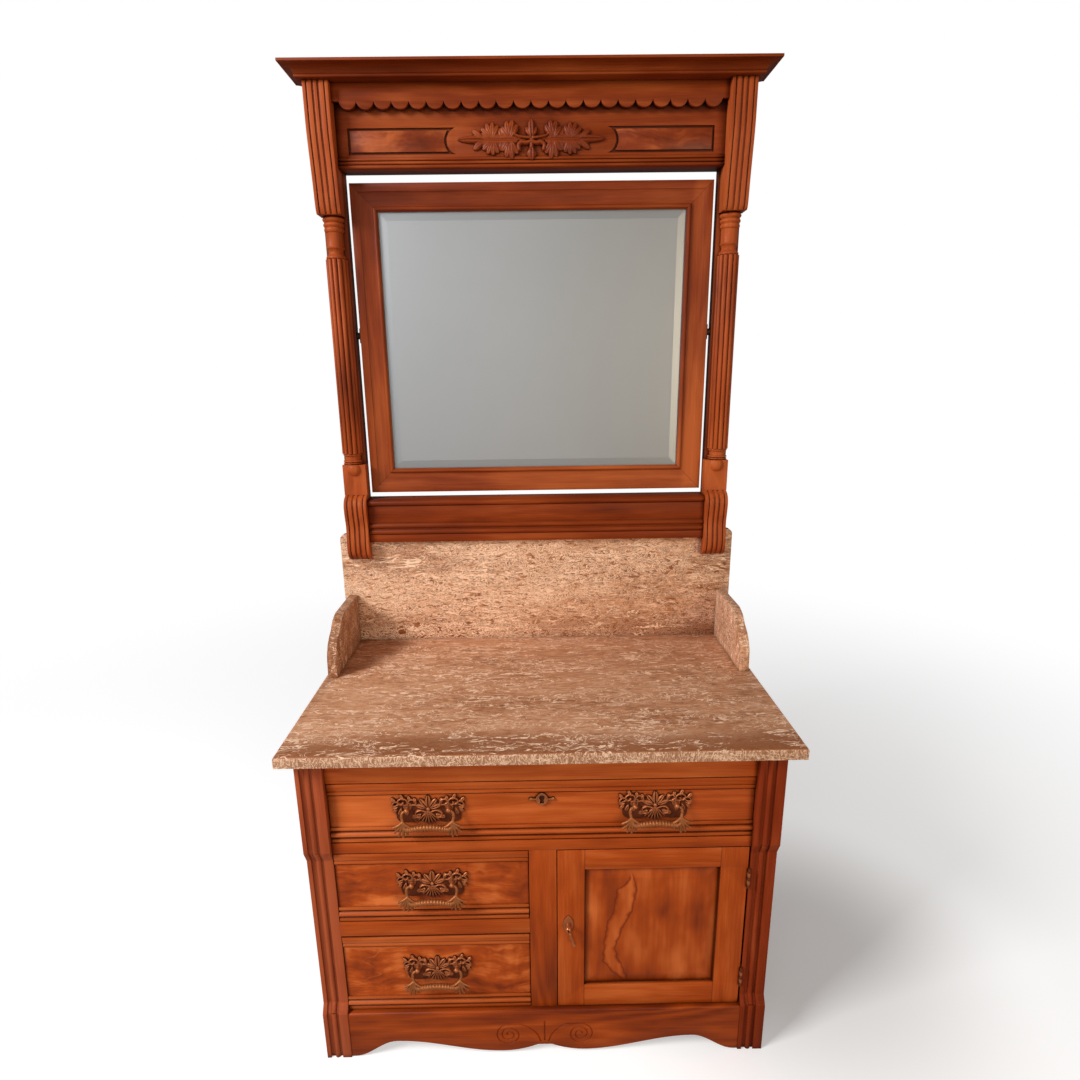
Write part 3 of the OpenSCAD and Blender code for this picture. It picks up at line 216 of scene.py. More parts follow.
class Value:
    """An output of a material's node. Arithmetic on it adds Math nodes."""

    def __init__(self, recipe, socket):
        self.recipe = recipe
        self.socket = socket

    def math(self, operation, *others):
        return self.recipe.math(operation, self, *others)

    def __add__(self, other):
        return self.math("ADD", other)

    __radd__ = __add__

    def __sub__(self, other):
        return self.math("SUBTRACT", other)

    def __rsub__(self, other):
        return self.recipe.math("SUBTRACT", other, self)

    def __mul__(self, other):
        return self.math("MULTIPLY", other)

    __rmul__ = __mul__

    def size(self):
        return self.math("ABSOLUTE")

    def axis(self, number):
        """One coordinate of a point."""
        return self.recipe.node("SeparateXYZ", None, {0: self}, output=number)

    def scaled(self, *shares):
        """A point whose coordinates are multiplied, each by its own share."""
        return self.recipe.vector("MULTIPLY", self, shares)

    def moved(self, by):
        return self.recipe.vector("ADD", self, by)


class Recipe:
    """One material, or a world, and the nodes that make it."""

    def __init__(self, name, made=None):
        self.material = made or bpy.data.materials.new(name)
        self.material.use_nodes = True
        self.tree = self.material.node_tree
        self.tree.nodes.clear()

    def node(self, kind, settings=None, inputs=None, output=0):
        """Adds a shader node, sets it up, fills its inputs and returns one of its outputs."""
        node = self.tree.nodes.new("ShaderNode" + kind)
        for key, value in (settings or {}).items():
            if key == "stops":
                ramp = node.color_ramp
                while len(ramp.elements) < len(value):
                    ramp.elements.new(0.5)
                for stop, (position, shade) in zip(ramp.elements, value):
                    stop.position = position
                    stop.color = opaque(shade)
            else:
                setattr(node, key, value)
        for key, value in (inputs or {}).items():
            if isinstance(value, Value):
                self.tree.links.new(value.socket, node.inputs[key])
            else:
                node.inputs[key].default_value = value
        return Value(self, node.outputs[output]) if node.outputs else self.material

    def math(self, operation, *values):
        return self.node("Math", {"operation": operation}, dict(enumerate(values)))

    def vector(self, operation, *values, output=0):
        return self.node("VectorMath", {"operation": operation}, dict(enumerate(values)), output)

    def mix(self, share, first, second):
        """The first colour, with a share of the second over it."""
        return self.node(
            "Mix", {"data_type": "RGBA", "blend_type": "MIX"},
            {0: share, 6: opaque(first), 7: opaque(second)}, output=2)

    def ramp(self, value, *stops):
        """The colour that a value has among stops, each a position and a colour."""
        return self.node("ValToRGB", {"stops": stops}, {"Fac": value})

    def place(self, shift=(0, 0, 0)):
        """The point on the piece in metres, moved by shift."""
        point = self.node("TexCoord", output="Object")
        return self.node("Mapping", {"vector_type": "POINT"}, {"Vector": point, "Location": shift})

    def facing(self, axis):
        """How far the surface faces along an axis of the piece."""
        return self.node("TexCoord", output="Normal").axis(axis).size()

    def noise(self, place, scale, detail=3.0, roughness=0.5, distortion=0.0, output=0):
        return self.node("TexNoise", None, {
            "Vector": place, "Scale": scale, "Detail": detail, "Roughness": roughness,
            "Distortion": distortion}, output)

    def drift(self, place, scale, reach, detail=3.0):
        """A soft random shift of a point, up to reach along each axis."""
        return self.noise(place, scale, detail, output=1).scaled(*reach)

    def rise(self, value, low, high):
        """0 below low, 1 above high, and a smooth slope between them."""
        return self.node("MapRange", {"interpolation_type": "SMOOTHSTEP"}, {
            "Value": value, "From Min": low, "From Max": high})

    def line(self, value, middle, width):
        """1 where value is at the middle, 0 from width away."""
        return 1 - self.rise((value - middle).size(), 0.0, width)

    def corner(self, reach, samples=6):
        """0 in a corner or hollow no wider than reach, 1 in the open."""
        return self.node("AmbientOcclusion", {"samples": samples}, {"Distance": reach}, output=1)

    def finish(self, inputs, height, strength, distance):
        """Ends the material in a surface, with a bump from height, and returns the material."""
        inputs["Normal"] = self.node("Bump", None, {
            "Height": height, "Strength": strength, "Distance": distance})
        return self.plain(inputs)

    def plain(self, inputs):
        """Ends the material in a smooth surface and returns the material."""
        return self.surface(self.node("BsdfPrincipled", None, inputs))

    def surface(self, shader, end="OutputMaterial"):
        """Gives the material its surface and returns the material."""
        return self.node(end, None, {"Surface": shader})


def opaque(shade):
    """A colour with its alpha, or a link as it is."""
    if isinstance(shade, Value) or len(tuple(shade)) == 4:
        return shade
    return (*shade, 1.0)


def along(m, point, grain, squeeze):
    """A point drawn together along the grain, so that what is made from it runs that way."""
    keep = m.vector("MULTIPLY", grain, (1 - squeeze,) * 3)
    return m.vector("MULTIPLY", point, m.vector("SUBTRACT", (1, 1, 1), keep))


def mitred(m, low, high):
    """How far a point of a mitred frame lies past the mitre, into its top and bottom members."""
    here = m.place()
    span = high - low
    from_middle = (here.axis(UP) - (low.z + high.z) / 2).size()
    return from_middle - here.axis(ACROSS).size() - (span.z - span.x) / 2


def railed(m, low, high, stile=53 * MM):
    """How far a point of a framed door lies in from its stiles, into its rails."""
    from_middle = (m.place().axis(ACROSS) - (low.x + high.x) / 2).size()
    return (high.x - low.x) / 2 - stile - from_middle


def painted_frame_light(m, low, high, member=30 * MM):
    """Painted light: how much paler a frame is painted at a point, most at its foot and its right side,
    where the light falls on it.
    """
    here = m.place()
    right = m.rise(here.axis(ACROSS), high.x - 50 * MM, high.x - member) * 0.16
    return right - m.rise(here.axis(UP), low.z + member, high.z - member) * 0.2 + 0.1


def dusted_and_shaded(m, shade, dark, share, reach=12 * MM):
    """A colour with old polish and dust gathered in the corners, and with painted shade: ambient
    occlusion darkens corners, hollows, reveals and faces under other parts.
    """
    # painted shade with the dust: darker wherever other surfaces lie within reach
    dust_and_shade = 1 - m.rise(m.corner(reach), 0.3, 0.95)
    return m.mix(dust_and_shade * share, shade, dimmed(dark, 0.22))


def wood(name, kind, grain, seed=0.0, figure=0.4, cloudy=0.75, gloss=0.42, sheen=0.2, dirt_and_shade=0.6,
         reach=12 * MM, joint_at=None, lift=0.0):
    """Varnished wood: soft clouds in the polish, faint growth bands, fine fibres along the grain.
    Past a frame's joints, where joint_at says, the grain runs across. Lift makes it paler: it is a
    number, or a function of the recipe."""
    light, mid, dark = growths(kind)
    m = Recipe(name)
    seam = None
    if joint_at:
        past = joint_at(m)
        seam = m.line(past, 0.0, 1.2 * MM)
        grain = m.mix(m.rise(past, -0.1 * MM, 0.1 * MM), grain, GRAIN_X)
    here = m.place(shift=(seed * 0.37, seed * 0.53, seed * 0.71))
    board = along(m, here, grain, 0.09).moved(m.drift(here, 3.5, (0.02, 0.02, 0.02), detail=2.0))
    growth = (m.noise(board, 8.0, detail=2.0) * 85).math("SINE") * 0.5 + 0.5
    streak = m.noise(board, 60.0, detail=4.0, roughness=0.6)
    fibre = m.noise(along(m, here, grain, 0.03), 420.0, roughness=0.6)
    cloud = m.noise(along(m, here, grain, 0.45), 6.5, roughness=0.55)
    tone = (growth - 0.5) * figure * 0.14 + (streak - 0.5) * 0.22 + (fibre - 0.5) * 0.24
    tone = tone + (cloud - 0.5) * cloudy + 0.5 + (lift(m) if callable(lift) else lift)
    shade = m.ramp(tone, (0.24, dark), (0.50, mid), (0.80, light))
    if seam:
        shade = m.mix(seam * 0.7, shade, dimmed(dark, 0.4))
    return m.finish({
        # painted shade with the dust, in corners, reveals and under other parts
        "Base Color": dusted_and_shaded(m, shade, dark, dirt_and_shade, reach),
        "Roughness": gloss + cloud * 0.12 - growth * 0.03, "Specular IOR Level": sheen,
    }, height=fibre * 0.5 + growth * 0.2, strength=0.18, distance=0.5 * MM)


def polished(m, shade, dark, dirt_and_shade, cloud, height):
    """Ends a veneer in its soft, slightly cloudy polish."""
    return m.finish({
        # painted shade with the dust, near the frames and mouldings round the veneer
        "Base Color": dusted_and_shaded(m, shade, dark, dirt_and_shade, 20 * MM), "Roughness": 0.38 + cloud * 0.1,
        "Coat Weight": 0.05, "Coat Roughness": 0.25, "Specular IOR Level": 0.22,
    }, height=height, strength=0.1, distance=0.4 * MM)


def crotch_veneer(name, kind, seed, lift=0.0):
    """Figured veneer: bright and dark clouds that break along slanting feathered strokes."""
    light, mid, dark = growths(kind)
    m = Recipe(name)
    here = m.place(shift=(seed, seed * 0.3, seed * 0.7))
    bent = here.moved(m.drift(here, 11.0, (0.05, 0.0, 0.05)))
    slant = m.node("Mapping", None, {
        "Vector": bent, "Rotation": (0, math.radians(38), 0), "Scale": (0.22, 1, 1)})
    patch = m.noise(bent, 15.0, roughness=0.55)
    broad = m.noise(here, 7.0, detail=2.0)
    feather = m.noise(slant, 52.0, roughness=0.6)
    upright = m.noise(here.scaled(1, 1, 0.16), 75.0)
    tone = (patch - 0.5) * 0.8 + (broad - 0.5) * 0.9 + (feather - 0.5) + (upright - 0.5) * 0.15
    shade = m.ramp(tone + 0.46 + lift, (0.10, dark), (0.48, mid), (0.76, light))
    knots = m.rise(m.noise(bent, 34.0, detail=2.0), 0.62, 0.74)
    shade = m.mix(knots * 0.4, shade, dark)
    stroke = m.line(m.noise(slant, 22.0, detail=2.0), 0.5, 0.012) * m.rise(patch, 0.42, 0.55)
    shade = m.mix(stroke * 0.4, shade, light)
    return polished(m, shade, dark, 0.85, patch, feather)


def flame_veneer(name, kind, low, high):
    """The door panel's veneer: upright clouds and one pale flame with a thin dark edge."""
    light, mid, dark = growths(kind)
    m = Recipe(name)
    here = m.place()
    level = m.node("MapRange", None, {
        "Value": here.axis(UP), "From Min": low.z, "From Max": high.z})
    side = m.node("MapRange", None, {
        "Value": here.axis(ACROSS), "From Min": low.x, "From Max": high.x})
    # red holds how far across the flame's middle is, and green half its width
    flame = m.ramp(level, *((place, (middle, half, 0, 1)) for place, middle, half in FLAME))
    middle_x = m.node("SeparateColor", None, {0: flame}, output=0)
    half = m.node("SeparateColor", None, {0: flame}, output=1)
    ragged = (m.noise(here, 55.0) - 0.5) * 0.05
    reach = (side - middle_x + ragged).size() - half
    inside = 1 - m.rise(reach, -0.03, 0.0)
    edge = m.line(reach, 0.0, 0.011) * m.rise(half, 0.0, 0.02)
    cloud = m.noise(here.scaled(1, 1, 0.28), 17.0)
    fine = m.noise(here.scaled(1, 1, 0.05), 150.0)
    bloom = m.noise(here, 11.0, detail=2.0)
    tone = (cloud - 0.5) * 1.1 + (fine - 0.5) * 0.18 + (bloom - 0.5) * 0.6 + 0.46 + inside * 0.2
    shade = m.ramp(tone, (0.18, dark), (0.50, mid), (0.80, light))
    shade = m.mix(edge * 0.75, shade, dark)
    return polished(m, shade, dark, 0.75, cloud, fine)


def veined(m, shade, tones, here, drift, flat, strokes):
    """Marble with pale strokes along its bed, each with a dark edge, and pale curls. Returns the
    colour and where the strokes are."""
    pale, dark = tones
    patch = m.rise(m.noise(flat, 60.0), 0.52, 0.57)
    vein = m.noise(flat, 52.0, roughness=0.6, distortion=1.2)
    stroke = m.rise(m.line(vein, 0.5, 0.036), 0.2, 0.7) * patch
    shadow = m.line(vein, 0.42, 0.05) * patch
    wide = here.scaled(0.45, 1, 1).moved(drift)
    curl = m.line(m.noise(wide, 40.0, roughness=0.6, distortion=2.0), 0.5, 0.03)
    curl = curl * m.rise(m.noise(flat, 36.0), 0.46, 0.52)
    shade = m.mix(shadow * 0.45 * strokes, shade, dark)
    shade = m.mix(stroke * strokes, shade, pale)
    return m.mix(curl * 0.9 * strokes, shade, pale), stroke


def flecked(m, shade, tones, here, drift, flat, flecks):
    """Marble covered with a tangle of pale flecks and short dark gaps. Returns the colour and where
    the flecks are."""
    pale, dark = tones
    tangle = m.noise(here.scaled(0.4, 1.0, 1.0).moved(drift), 55.0, roughness=0.6,
                     distortion=2.2)
    speck = m.line(tangle, 0.40, 0.035) + m.line(tangle, 0.48, 0.035) + m.line(tangle, 0.56, 0.035)
    speck = m.rise(speck, 0.1, 0.6)
    gap = m.rise(m.noise(here.scaled(0.14, 1, 1), 170.0, detail=2.0), 0.56, 0.64)
    spread = m.rise(m.noise(flat, 14.0, detail=2.0), 0.38, 0.60)
    shade = m.mix(gap * flecks * 0.26, shade, dark)
    return m.mix(speck * flecks * (spread * 0.6 + 0.4), shade, pale), speck


def marble(name, bed, seed, flecks, strokes=1.0, edge=0.0, stain=None, lift=0.0):
    """Bedded marble with veins and flecks, coarse where the slab is cut across. A stain darkens it
    along one axis: the axis, and where it starts and ends."""
    f = finishes()
    pale, mid, dark = tuple(f.marble_vein), tuple(f.marble_mid), tuple(f.marble_dark)
    m = Recipe(name)
    here = m.place(shift=(seed, seed * 0.6, seed * 0.2))
    drift = m.drift(here, 30.0, (0.008, 0.008, 0.008))
    flat = here.scaled(*bed).moved(drift)
    beds = m.noise(flat, 130.0, detail=5.0, roughness=0.75)
    cloud = m.noise(flat, 11.0)
    crumb = m.noise(here.scaled(0.35, 1.0, 1.0), 190.0, roughness=0.65)
    tone = (beds - 0.5) * 1.2 + (cloud - 0.5) * 0.55 + (crumb - 0.5) * (0.4 + flecks * 0.6)
    creamy = tuple(0.45 * a + 0.55 * b for a, b in zip(pale, mid))
    shade = m.ramp(tone + 0.5 + lift, (0.20, dark), (0.50, mid), (0.84, creamy))
    if stain:
        axis, start, end = stain
        edge_at = m.place().axis(axis) + (cloud - 0.5) * 0.08
        wet = (1 - m.rise(edge_at, start, end)) * m.rise(beds, 0.25, 0.5)
        shade = m.mix(wet * 0.75, shade, (dark[0], dark[1] * 0.78, dark[2] * 0.4))
    shade, stroke = veined(m, shade, (pale, dark), here, drift, flat, strokes)
    shade, speck = flecked(m, shade, (pale, dark), here, drift, flat, flecks)
    height = beds * 0.3 + stroke * 0.3 + speck * flecks
    if edge:
        cut = 1 - m.rise(m.facing(UP), 0.35, 0.8)
        coarse = here.scaled(1.0, 1.0, 0.4)
        grit = m.line(m.noise(coarse, 115.0, distortion=2.2), 0.5, 0.07)
        pits = m.rise(m.noise(coarse, 110.0, detail=2.0), 0.40, 0.60)
        shade = m.mix(cut * 0.16, shade, pale)
        shade = m.mix(cut * pits * 0.18, shade, dark)
        shade = m.mix(cut * grit * edge, shade, pale)
        height = height - cut * pits * 1.5 + cut * grit
    return m.finish({
        # painted shade with the dust, in the corners between the slabs
        "Base Color": dusted_and_shaded(m, shade, dark, 0.3), "Roughness": 0.5 + beds * 0.2,
        "Specular IOR Level": 0.2,
    }, height=height, strength=0.3, distance=0.8 * MM)


def brass(name, rubbed, tarnish, gloss=0.42, hollow=4 * MM, ground=None):
    """Rubbed cast metal: bright where it stands out, tarnished in its hollows. Cast in relief, it is
    tarnished on its ground too, which faces the front at a given depth."""
    rubbed, tarnish = tuple(rubbed), tuple(tarnish)
    m = Recipe(name)
    here = m.place()
    cloud = m.noise(here, 120.0)
    grain = m.noise(here, 900.0, detail=2.0)
    worn = m.rise(m.corner(hollow, samples=8) + cloud * 0.3 - 0.15, 0.42, 1.0)
    if ground is not None:
        raised = m.rise(ground - here.axis(DEEP), 0.9 * MM, 2.6 * MM)
        worn = worn * (raised * 0.9 + 0.1)
    shade = m.mix(worn, tarnish, rubbed)
    shade = m.mix(m.rise(cloud, 0.55, 0.75) * 0.3, shade, dimmed(rubbed, 0.6))
    return m.finish({
        "Base Color": shade, "Metallic": worn * 0.4 + 0.2,
        "Roughness": gloss + (1 - worn) * 0.25 + grain * 0.08, "Specular IOR Level": 0.2,
    }, height=grain + cloud, strength=0.12, distance=0.3 * MM)


def silvering():
    """The mirror's silvered back, clouded, with a painted reflection: darker to the right, and its
    bevel a shade darker.
    """
    m = Recipe("Mirror silvering")
    here = m.place()
    tone = tuple(finishes().mirror)
    cloud = m.noise(here, 6.0, detail=4.0, roughness=0.6)
    # painted reflection: the glass darkens towards the right, besides its clouding
    dull = m.rise(cloud, 0.3, 0.8) * 0.12 + m.rise(here.axis(ACROSS), -0.1, 0.36) * 0.7
    shade = m.mix(dull, tone, dimmed(tone, 0.75))
    # painted reflection: the bevel is painted a shade darker
    bevel = m.rise(m.facing(ACROSS) + m.facing(UP), 0.01, 0.03)
    shade = m.mix(bevel * 0.3, shade, dimmed(tone, 0.9))
    return m.plain({"Base Color": shade, "Metallic": 0.7, "Roughness": 0.5 - bevel * 0.1})


# ---------- modelling ----------

def leave_edit():
    if bpy.context.mode != "OBJECT":
        bpy.ops.object.mode_set(mode="OBJECT")


def clear_choice():
    leave_edit()
    bpy.ops.object.select_all(action="DESELECT")


def take(piece):
    """Makes piece the only selected and the active object."""
    clear_choice()
    piece.select_set(True)
    bpy.context.view_layer.objects.active = piece


def edit_all(piece):
    """Opens piece in edit mode with all of it selected."""
    take(piece)
    bpy.ops.object.mode_set(mode="EDIT")
    bpy.ops.mesh.select_all(action="SELECT")


def choose_none(piece, kind):
    """Readies piece for a choice of its faces or vertices, with none of them chosen."""
    edit_all(piece)
    bpy.ops.mesh.select_mode(type=kind)
    bpy.ops.mesh.select_all(action="DESELECT")
    leave_edit()


def modify(piece, kind, **settings):
    """Adds a modifier to piece, sets it up and applies it."""
    take(piece)
    modifier = piece.modifiers.new(kind, kind)
    for key, value in settings.items():
        setattr(modifier, key, value)
    bpy.ops.object.modifier_apply(modifier=modifier.name)
    return piece


def named(piece, name):
    piece.name = name
    piece.data.name = name
    return piece


def welded(node, ring=False):
    """A copy of a frame node whose loose triangles are joined up into flat faces. The flat faces of a
    ring stay in quarters, since one face can't go round a hole."""
    take(frame["nodes"][node])
    bpy.ops.object.duplicate()
    piece = named(bpy.context.object, node + "_dressed")
    bpy.ops.object.parent_clear(type="CLEAR_KEEP_TRANSFORM")
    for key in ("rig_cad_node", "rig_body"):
        if key in piece:
            del piece[key]
    piece.data.materials.clear()
    bpy.ops.mesh.customdata_custom_splitnormals_clear()
    edit_all(piece)
    bpy.ops.mesh.remove_doubles(threshold=0.02 * MM)
    if ring:
        bpy.ops.mesh.tris_convert_to_quads(face_threshold=math.radians(1), shape_threshold=math.pi)
    else:
        bpy.ops.mesh.dissolve_limited(angle_limit=math.radians(0.6))
    leave_edit()
    return piece


def softened(node, width, angle=28, ring=False):
    """A copy of a frame node with the edges rounded that are sharper than angle."""
    return modify(
        welded(node, ring), "BEVEL", width=width, segments=2, limit_method="ANGLE",
        angle_limit=math.radians(angle), use_clamp_overlap=True, miter_outer="MITER_ARC")


def ball(centre, radius, segments, rings):
    bpy.ops.mesh.primitive_uv_sphere_add(
        segments=segments, ring_count=rings, radius=radius, location=centre)
    return bpy.context.object


def rod(name, points, radii, sides=3):
    """A round rod along points, drawn as a curve and made a mesh."""
    clear_choice()
    bpy.ops.curve.primitive_nurbs_path_add(location=(0, 0, 0))
    piece = named(bpy.context.object, name)
    curve = piece.data
    curve.splines.clear()
    spline = curve.splines.new("POLY")
    spline.points.add(len(points) - 1)
    for knot, point, radius in zip(spline.points, points, radii):
        knot.co = (*point, 1.0)
        knot.radius = radius
    curve.bevel_depth = 1.0
    curve.bevel_resolution = sides
    curve.use_fill_caps = True
    bpy.ops.object.convert(target="MESH")
    return named(bpy.context.object, name)


def smooth_path(knots, steps=8):
    """Points on a smooth curve through the knots."""
    knots = [Vector(knot) for knot in knots]
    ends = [knots[0] * 2 - knots[1], *knots, knots[-1] * 2 - knots[-2]]
    points = []
    for a, b, c, d in zip(ends, ends[1:], ends[2:], ends[3:]):
        for k in range(steps):
            t = k / steps
            points.append(0.5 * (2 * b + (c - a) * t + (2 * a - 5 * b + 4 * c - d) * t * t
                                 + (3 * b - a - 3 * c + d) * t ** 3))
    return points + [knots[-1]]


def joined(pieces, name):
    """Several pieces made one."""
    take(pieces[0])
    for piece in pieces:
        piece.select_set(True)
    bpy.ops.object.join()
    return named(bpy.context.object, name)


def cast(piece, voxel):
    """Melts overlapping shapes into one skin, as in a casting."""
    modify(piece, "REMESH", mode="VOXEL", voxel_size=voxel)
    return modify(piece, "SMOOTH", factor=0.5, iterations=2)


def finish(piece, body, material, replaces, smooth=32):
    """Puts piece at the origin, gives it its finish and its body, and hides the frame nodes that it
    stands for. With no material it keeps the finishes it has."""
    take(piece)
    bpy.ops.object.transform_apply(location=True, rotation=True, scale=True)
    bpy.ops.object.shade_smooth_by_angle(angle=math.radians(smooth))
    if material is not None:
        piece.data.materials.clear()
        piece.data.materials.append(material)
    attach(piece, body)
    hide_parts(*replaces)


def dress(node, body, material, width, angle=28, ring=False):
    """A frame node with its edges rounded and its finish on."""
    finish(softened(node, width, angle, ring), body, material, (node,))


def inlay(piece, spots, material):
    """Gives the flat face at each spot on the front of piece a finish of its own."""
    piece.data.materials.append(material)
    choose_none(piece, "FACE")
    front = [face for face in piece.data.polygons if face.normal.y < -0.99]
    for spot in spots:
        min(front, key=lambda face: (face.center - spot).length).select = True
    bpy.ops.object.mode_set(mode="EDIT")
    bpy.ops.mesh.faces_select_linked_flat(sharpness=math.radians(1))
    piece.active_material_index = len(piece.data.materials) - 1
    bpy.ops.object.material_slot_assign()
    leave_edit()


def paint(material, *nodes):
    """Gives frame nodes a finish and leaves their shape alone."""
    for node in nodes:
        materials = frame["nodes"][node].data.materials
        materials.clear()
        materials.append(material)


def lobe(x, z, root, tip, width, rise, crease, blunt=True):
    """Height of one carved leaf lobe over the points x, z: domed, its midrib sunk by a share of the
    height, and its end round or pointed."""
    along = np.array(tip, float) - np.array(root, float)
    span = np.hypot(*along)
    along /= span
    u = ((x - root[0]) * along[0] + (z - root[1]) * along[1]) / span
    v = (z - root[1]) * along[0] - (x - root[0]) * along[1]
    inside = np.clip(u, 1e-4, 0.9999)
    if blunt:
        half = width * 2.05 * inside ** 0.8 * (1 - inside) ** 0.52
    else:
        half = width * 1.35 * inside ** 0.45 * (1 - inside) ** 0.6
    across = np.abs(v) / half
    dome = np.sqrt(np.clip(1 - across ** 2, 0, 1)) * (0.5 + 0.5 * np.sin(math.pi * inside ** 0.8))
    rib = 1 - crease * np.exp(-(across / 0.2) ** 2)
    return np.where((u > 0) & (u < 1) & (across < 1), rise * dome * rib, 0.0)


def heaped(x, z, lobes):
    """The highest of several lobes at each point."""
    height = np.zeros(x.shape)
    for shape in lobes:
        height = np.maximum(height, lobe(x, z, *shape))
    return height


def band(x, z, path, width, rise, taper=1.0):
    """Height of a carved rounded band along a path, its end thinned by taper."""
    path = smooth_path([(*knot, 0) for knot in path], 10)
    height = np.zeros(x.shape)
    for k, (px, pz, _) in enumerate(path):
        wide = width * (1 + (taper - 1) * k / (len(path) - 1))
        gone = np.hypot(x - px, z - pz) / wide
        height = np.maximum(height, rise * np.sqrt(np.clip(1 - gone ** 2, 0, 1)))
    return height


def relief(name, origin, low, high, step, thickness, height_of):
    """A carved plate. height_of gives, in millimetres, how far each point stands out, or less than 0
    where there is none. Low and high are its corners in millimetres from origin."""
    clear_choice()
    width, height = high[0] - low[0], high[1] - low[1]
    bpy.ops.mesh.primitive_grid_add(
        x_subdivisions=round(width / step), y_subdivisions=round(height / step), size=1,
        rotation=(math.pi / 2, 0, 0))
    piece = named(bpy.context.object, name)
    piece.scale = (width * MM, height * MM, 1)
    piece.location = ((low[0] + high[0]) / 2 * MM, 0, (low[1] + high[1]) / 2 * MM)
    bpy.ops.object.transform_apply(location=True, rotation=True, scale=True)
    mesh = piece.data
    points = np.empty(len(mesh.vertices) * 3)
    mesh.vertices.foreach_get("co", points)
    points = points.reshape(-1, 3)
    levels = height_of(points[:, 0] / MM, points[:, 2] / MM)
    points[:, 1] = -np.maximum(levels, 0) * MM
    mesh.vertices.foreach_set("co", points.ravel())
    choose_none(piece, "VERT")
    for vertex, level in zip(mesh.vertices, levels):
        vertex.select = bool(level < 0)
    bpy.ops.object.mode_set(mode="EDIT")
    bpy.ops.mesh.delete(type="VERT")
    bpy.ops.mesh.select_all(action="SELECT")
    bpy.ops.mesh.extrude_region_move(TRANSFORM_OT_translate={"value": (0, thickness, 0)})
    bpy.ops.transform.resize(value=(1, 0, 1), center_override=(0, thickness, 0))
    bpy.ops.mesh.select_all(action="SELECT")
    bpy.ops.mesh.normals_make_consistent(inside=False)
    leave_edit()
    piece.location = origin
    bpy.ops.object.transform_apply(location=True, rotation=False, scale=False)
    return piece


def mirrored(lobes):
    """Lobes and their reflections in the middle line."""
    return lobes + [((-a[0], a[1]), (-b[0], b[1]), *rest) for a, b, *rest in lobes]


def middle(node):
    low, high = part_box(node)
    return (low + high) / 2


# ---------- pieces ----------

class WASHSTAND_OT_carcase(bpy.types.Operator):
    """Rails, boards and panels of the case"""

    bl_idname = "washstand.carcase"
    bl_label = "Carcase"

    def execute(self, context):
        # the top rail is painted paler: painted light against the shade under the marble's overhang
        top = wood("Top rail wood", "front", GRAIN_X, seed=3.0, lift=0.13)
        # the rails take strong painted shade in their reveals, with the dust
        across = wood("Cabinet wood across", "front", GRAIN_X, seed=1.0, dirt_and_shade=0.95)
        upright = wood("Cabinet wood upright", "front", GRAIN_Z, seed=2.0, figure=0.6)
        side = wood("Side wood", "post", GRAIN_Z, seed=4.0, figure=0.8)
        side_rail = wood("Side rail wood", "post", GRAIN_Y, seed=5.0)
        for node, material in (
                ("top_rail", top), ("drawer_rail", across), ("small_drawer_rail", across),
                ("centre_stile", upright), ("side_panels", side), ("side_rails", side_rail),
                ("rear_posts", side)):
            dress(node, "cabinet", material, sizes().wood_arris)
        paint(wood("Inner wood", "inner", GRAIN_X, seed=6.0, gloss=0.6), "bottom_board", "partition",
              "back_panel", "back_rail", "web_frame", "drawer_runners", "door_stop")
        return {"FINISHED"}


class WASHSTAND_OT_posts(bpy.types.Operator):
    """Moulded front posts"""

    bl_idname = "washstand.posts"
    bl_label = "Front posts"

    def execute(self, context):
        # lit and shaded copies of one wood: the left post is painted paler, as if lit, and the right
        # one darker with less sheen, as if in shade
        for node, letter, seed, lift, sheen in (
                ("front_post_left", "L", 8.0, 0.2, 0.2), ("front_post_right", "R", 9.0, -0.04, 0.06)):
            material = wood("Post wood " + letter, "post", GRAIN_Z, seed, sheen=sheen, lift=lift)
            dress(node, "cabinet", material, sizes().turned_arris * 2, angle=20)
        return {"FINISHED"}


class WASHSTAND_OT_apron(bpy.types.Operator):
    """Shaped apron with its two incised spirals"""

    bl_idname = "washstand.apron"
    bl_label = "Apron"

    def execute(self, context):
        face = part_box("apron")[0].y
        size = sizes()
        cuts = []
        for side in (-1, 1):
            path = [Vector((side * x * MM, face, z * MM)) for x, z in APRON_ARM]
            for k in range(SPIRAL_STEPS + 1):
                t = k / SPIRAL_STEPS
                angle = math.radians(SPIRAL_START - 360 * size.spiral_turns * t)
                reach = size.scroll_r * (1 - SPIRAL_SHRINK * t)
                path.append(Vector((side * (SPIRAL_X * MM + reach * math.cos(angle)), face,
                                    SPIRAL_Z * MM + reach * math.sin(angle))))
            path = smooth_path(path, 5)
            cuts.append(rod("spiral", path, [size.incised_r] * len(path), 2))
        stem = [(0, face, z * MM) for z in APRON_STEM]
        cuts.append(rod("stem", stem, [size.incised_r] * len(stem), 2))
        apron = softened("apron", size.wood_arris)
        for cut in cuts:
            modify(apron, "BOOLEAN", operation="DIFFERENCE", solver="EXACT", object=cut)
        for cut in cuts:
            bpy.data.objects.remove(cut)
        material = wood("Apron wood", "front", GRAIN_X, seed=11.0, figure=0.9, lift=-0.08)
        finish(apron, "cabinet", material, ("apron",))
        return {"FINISHED"}


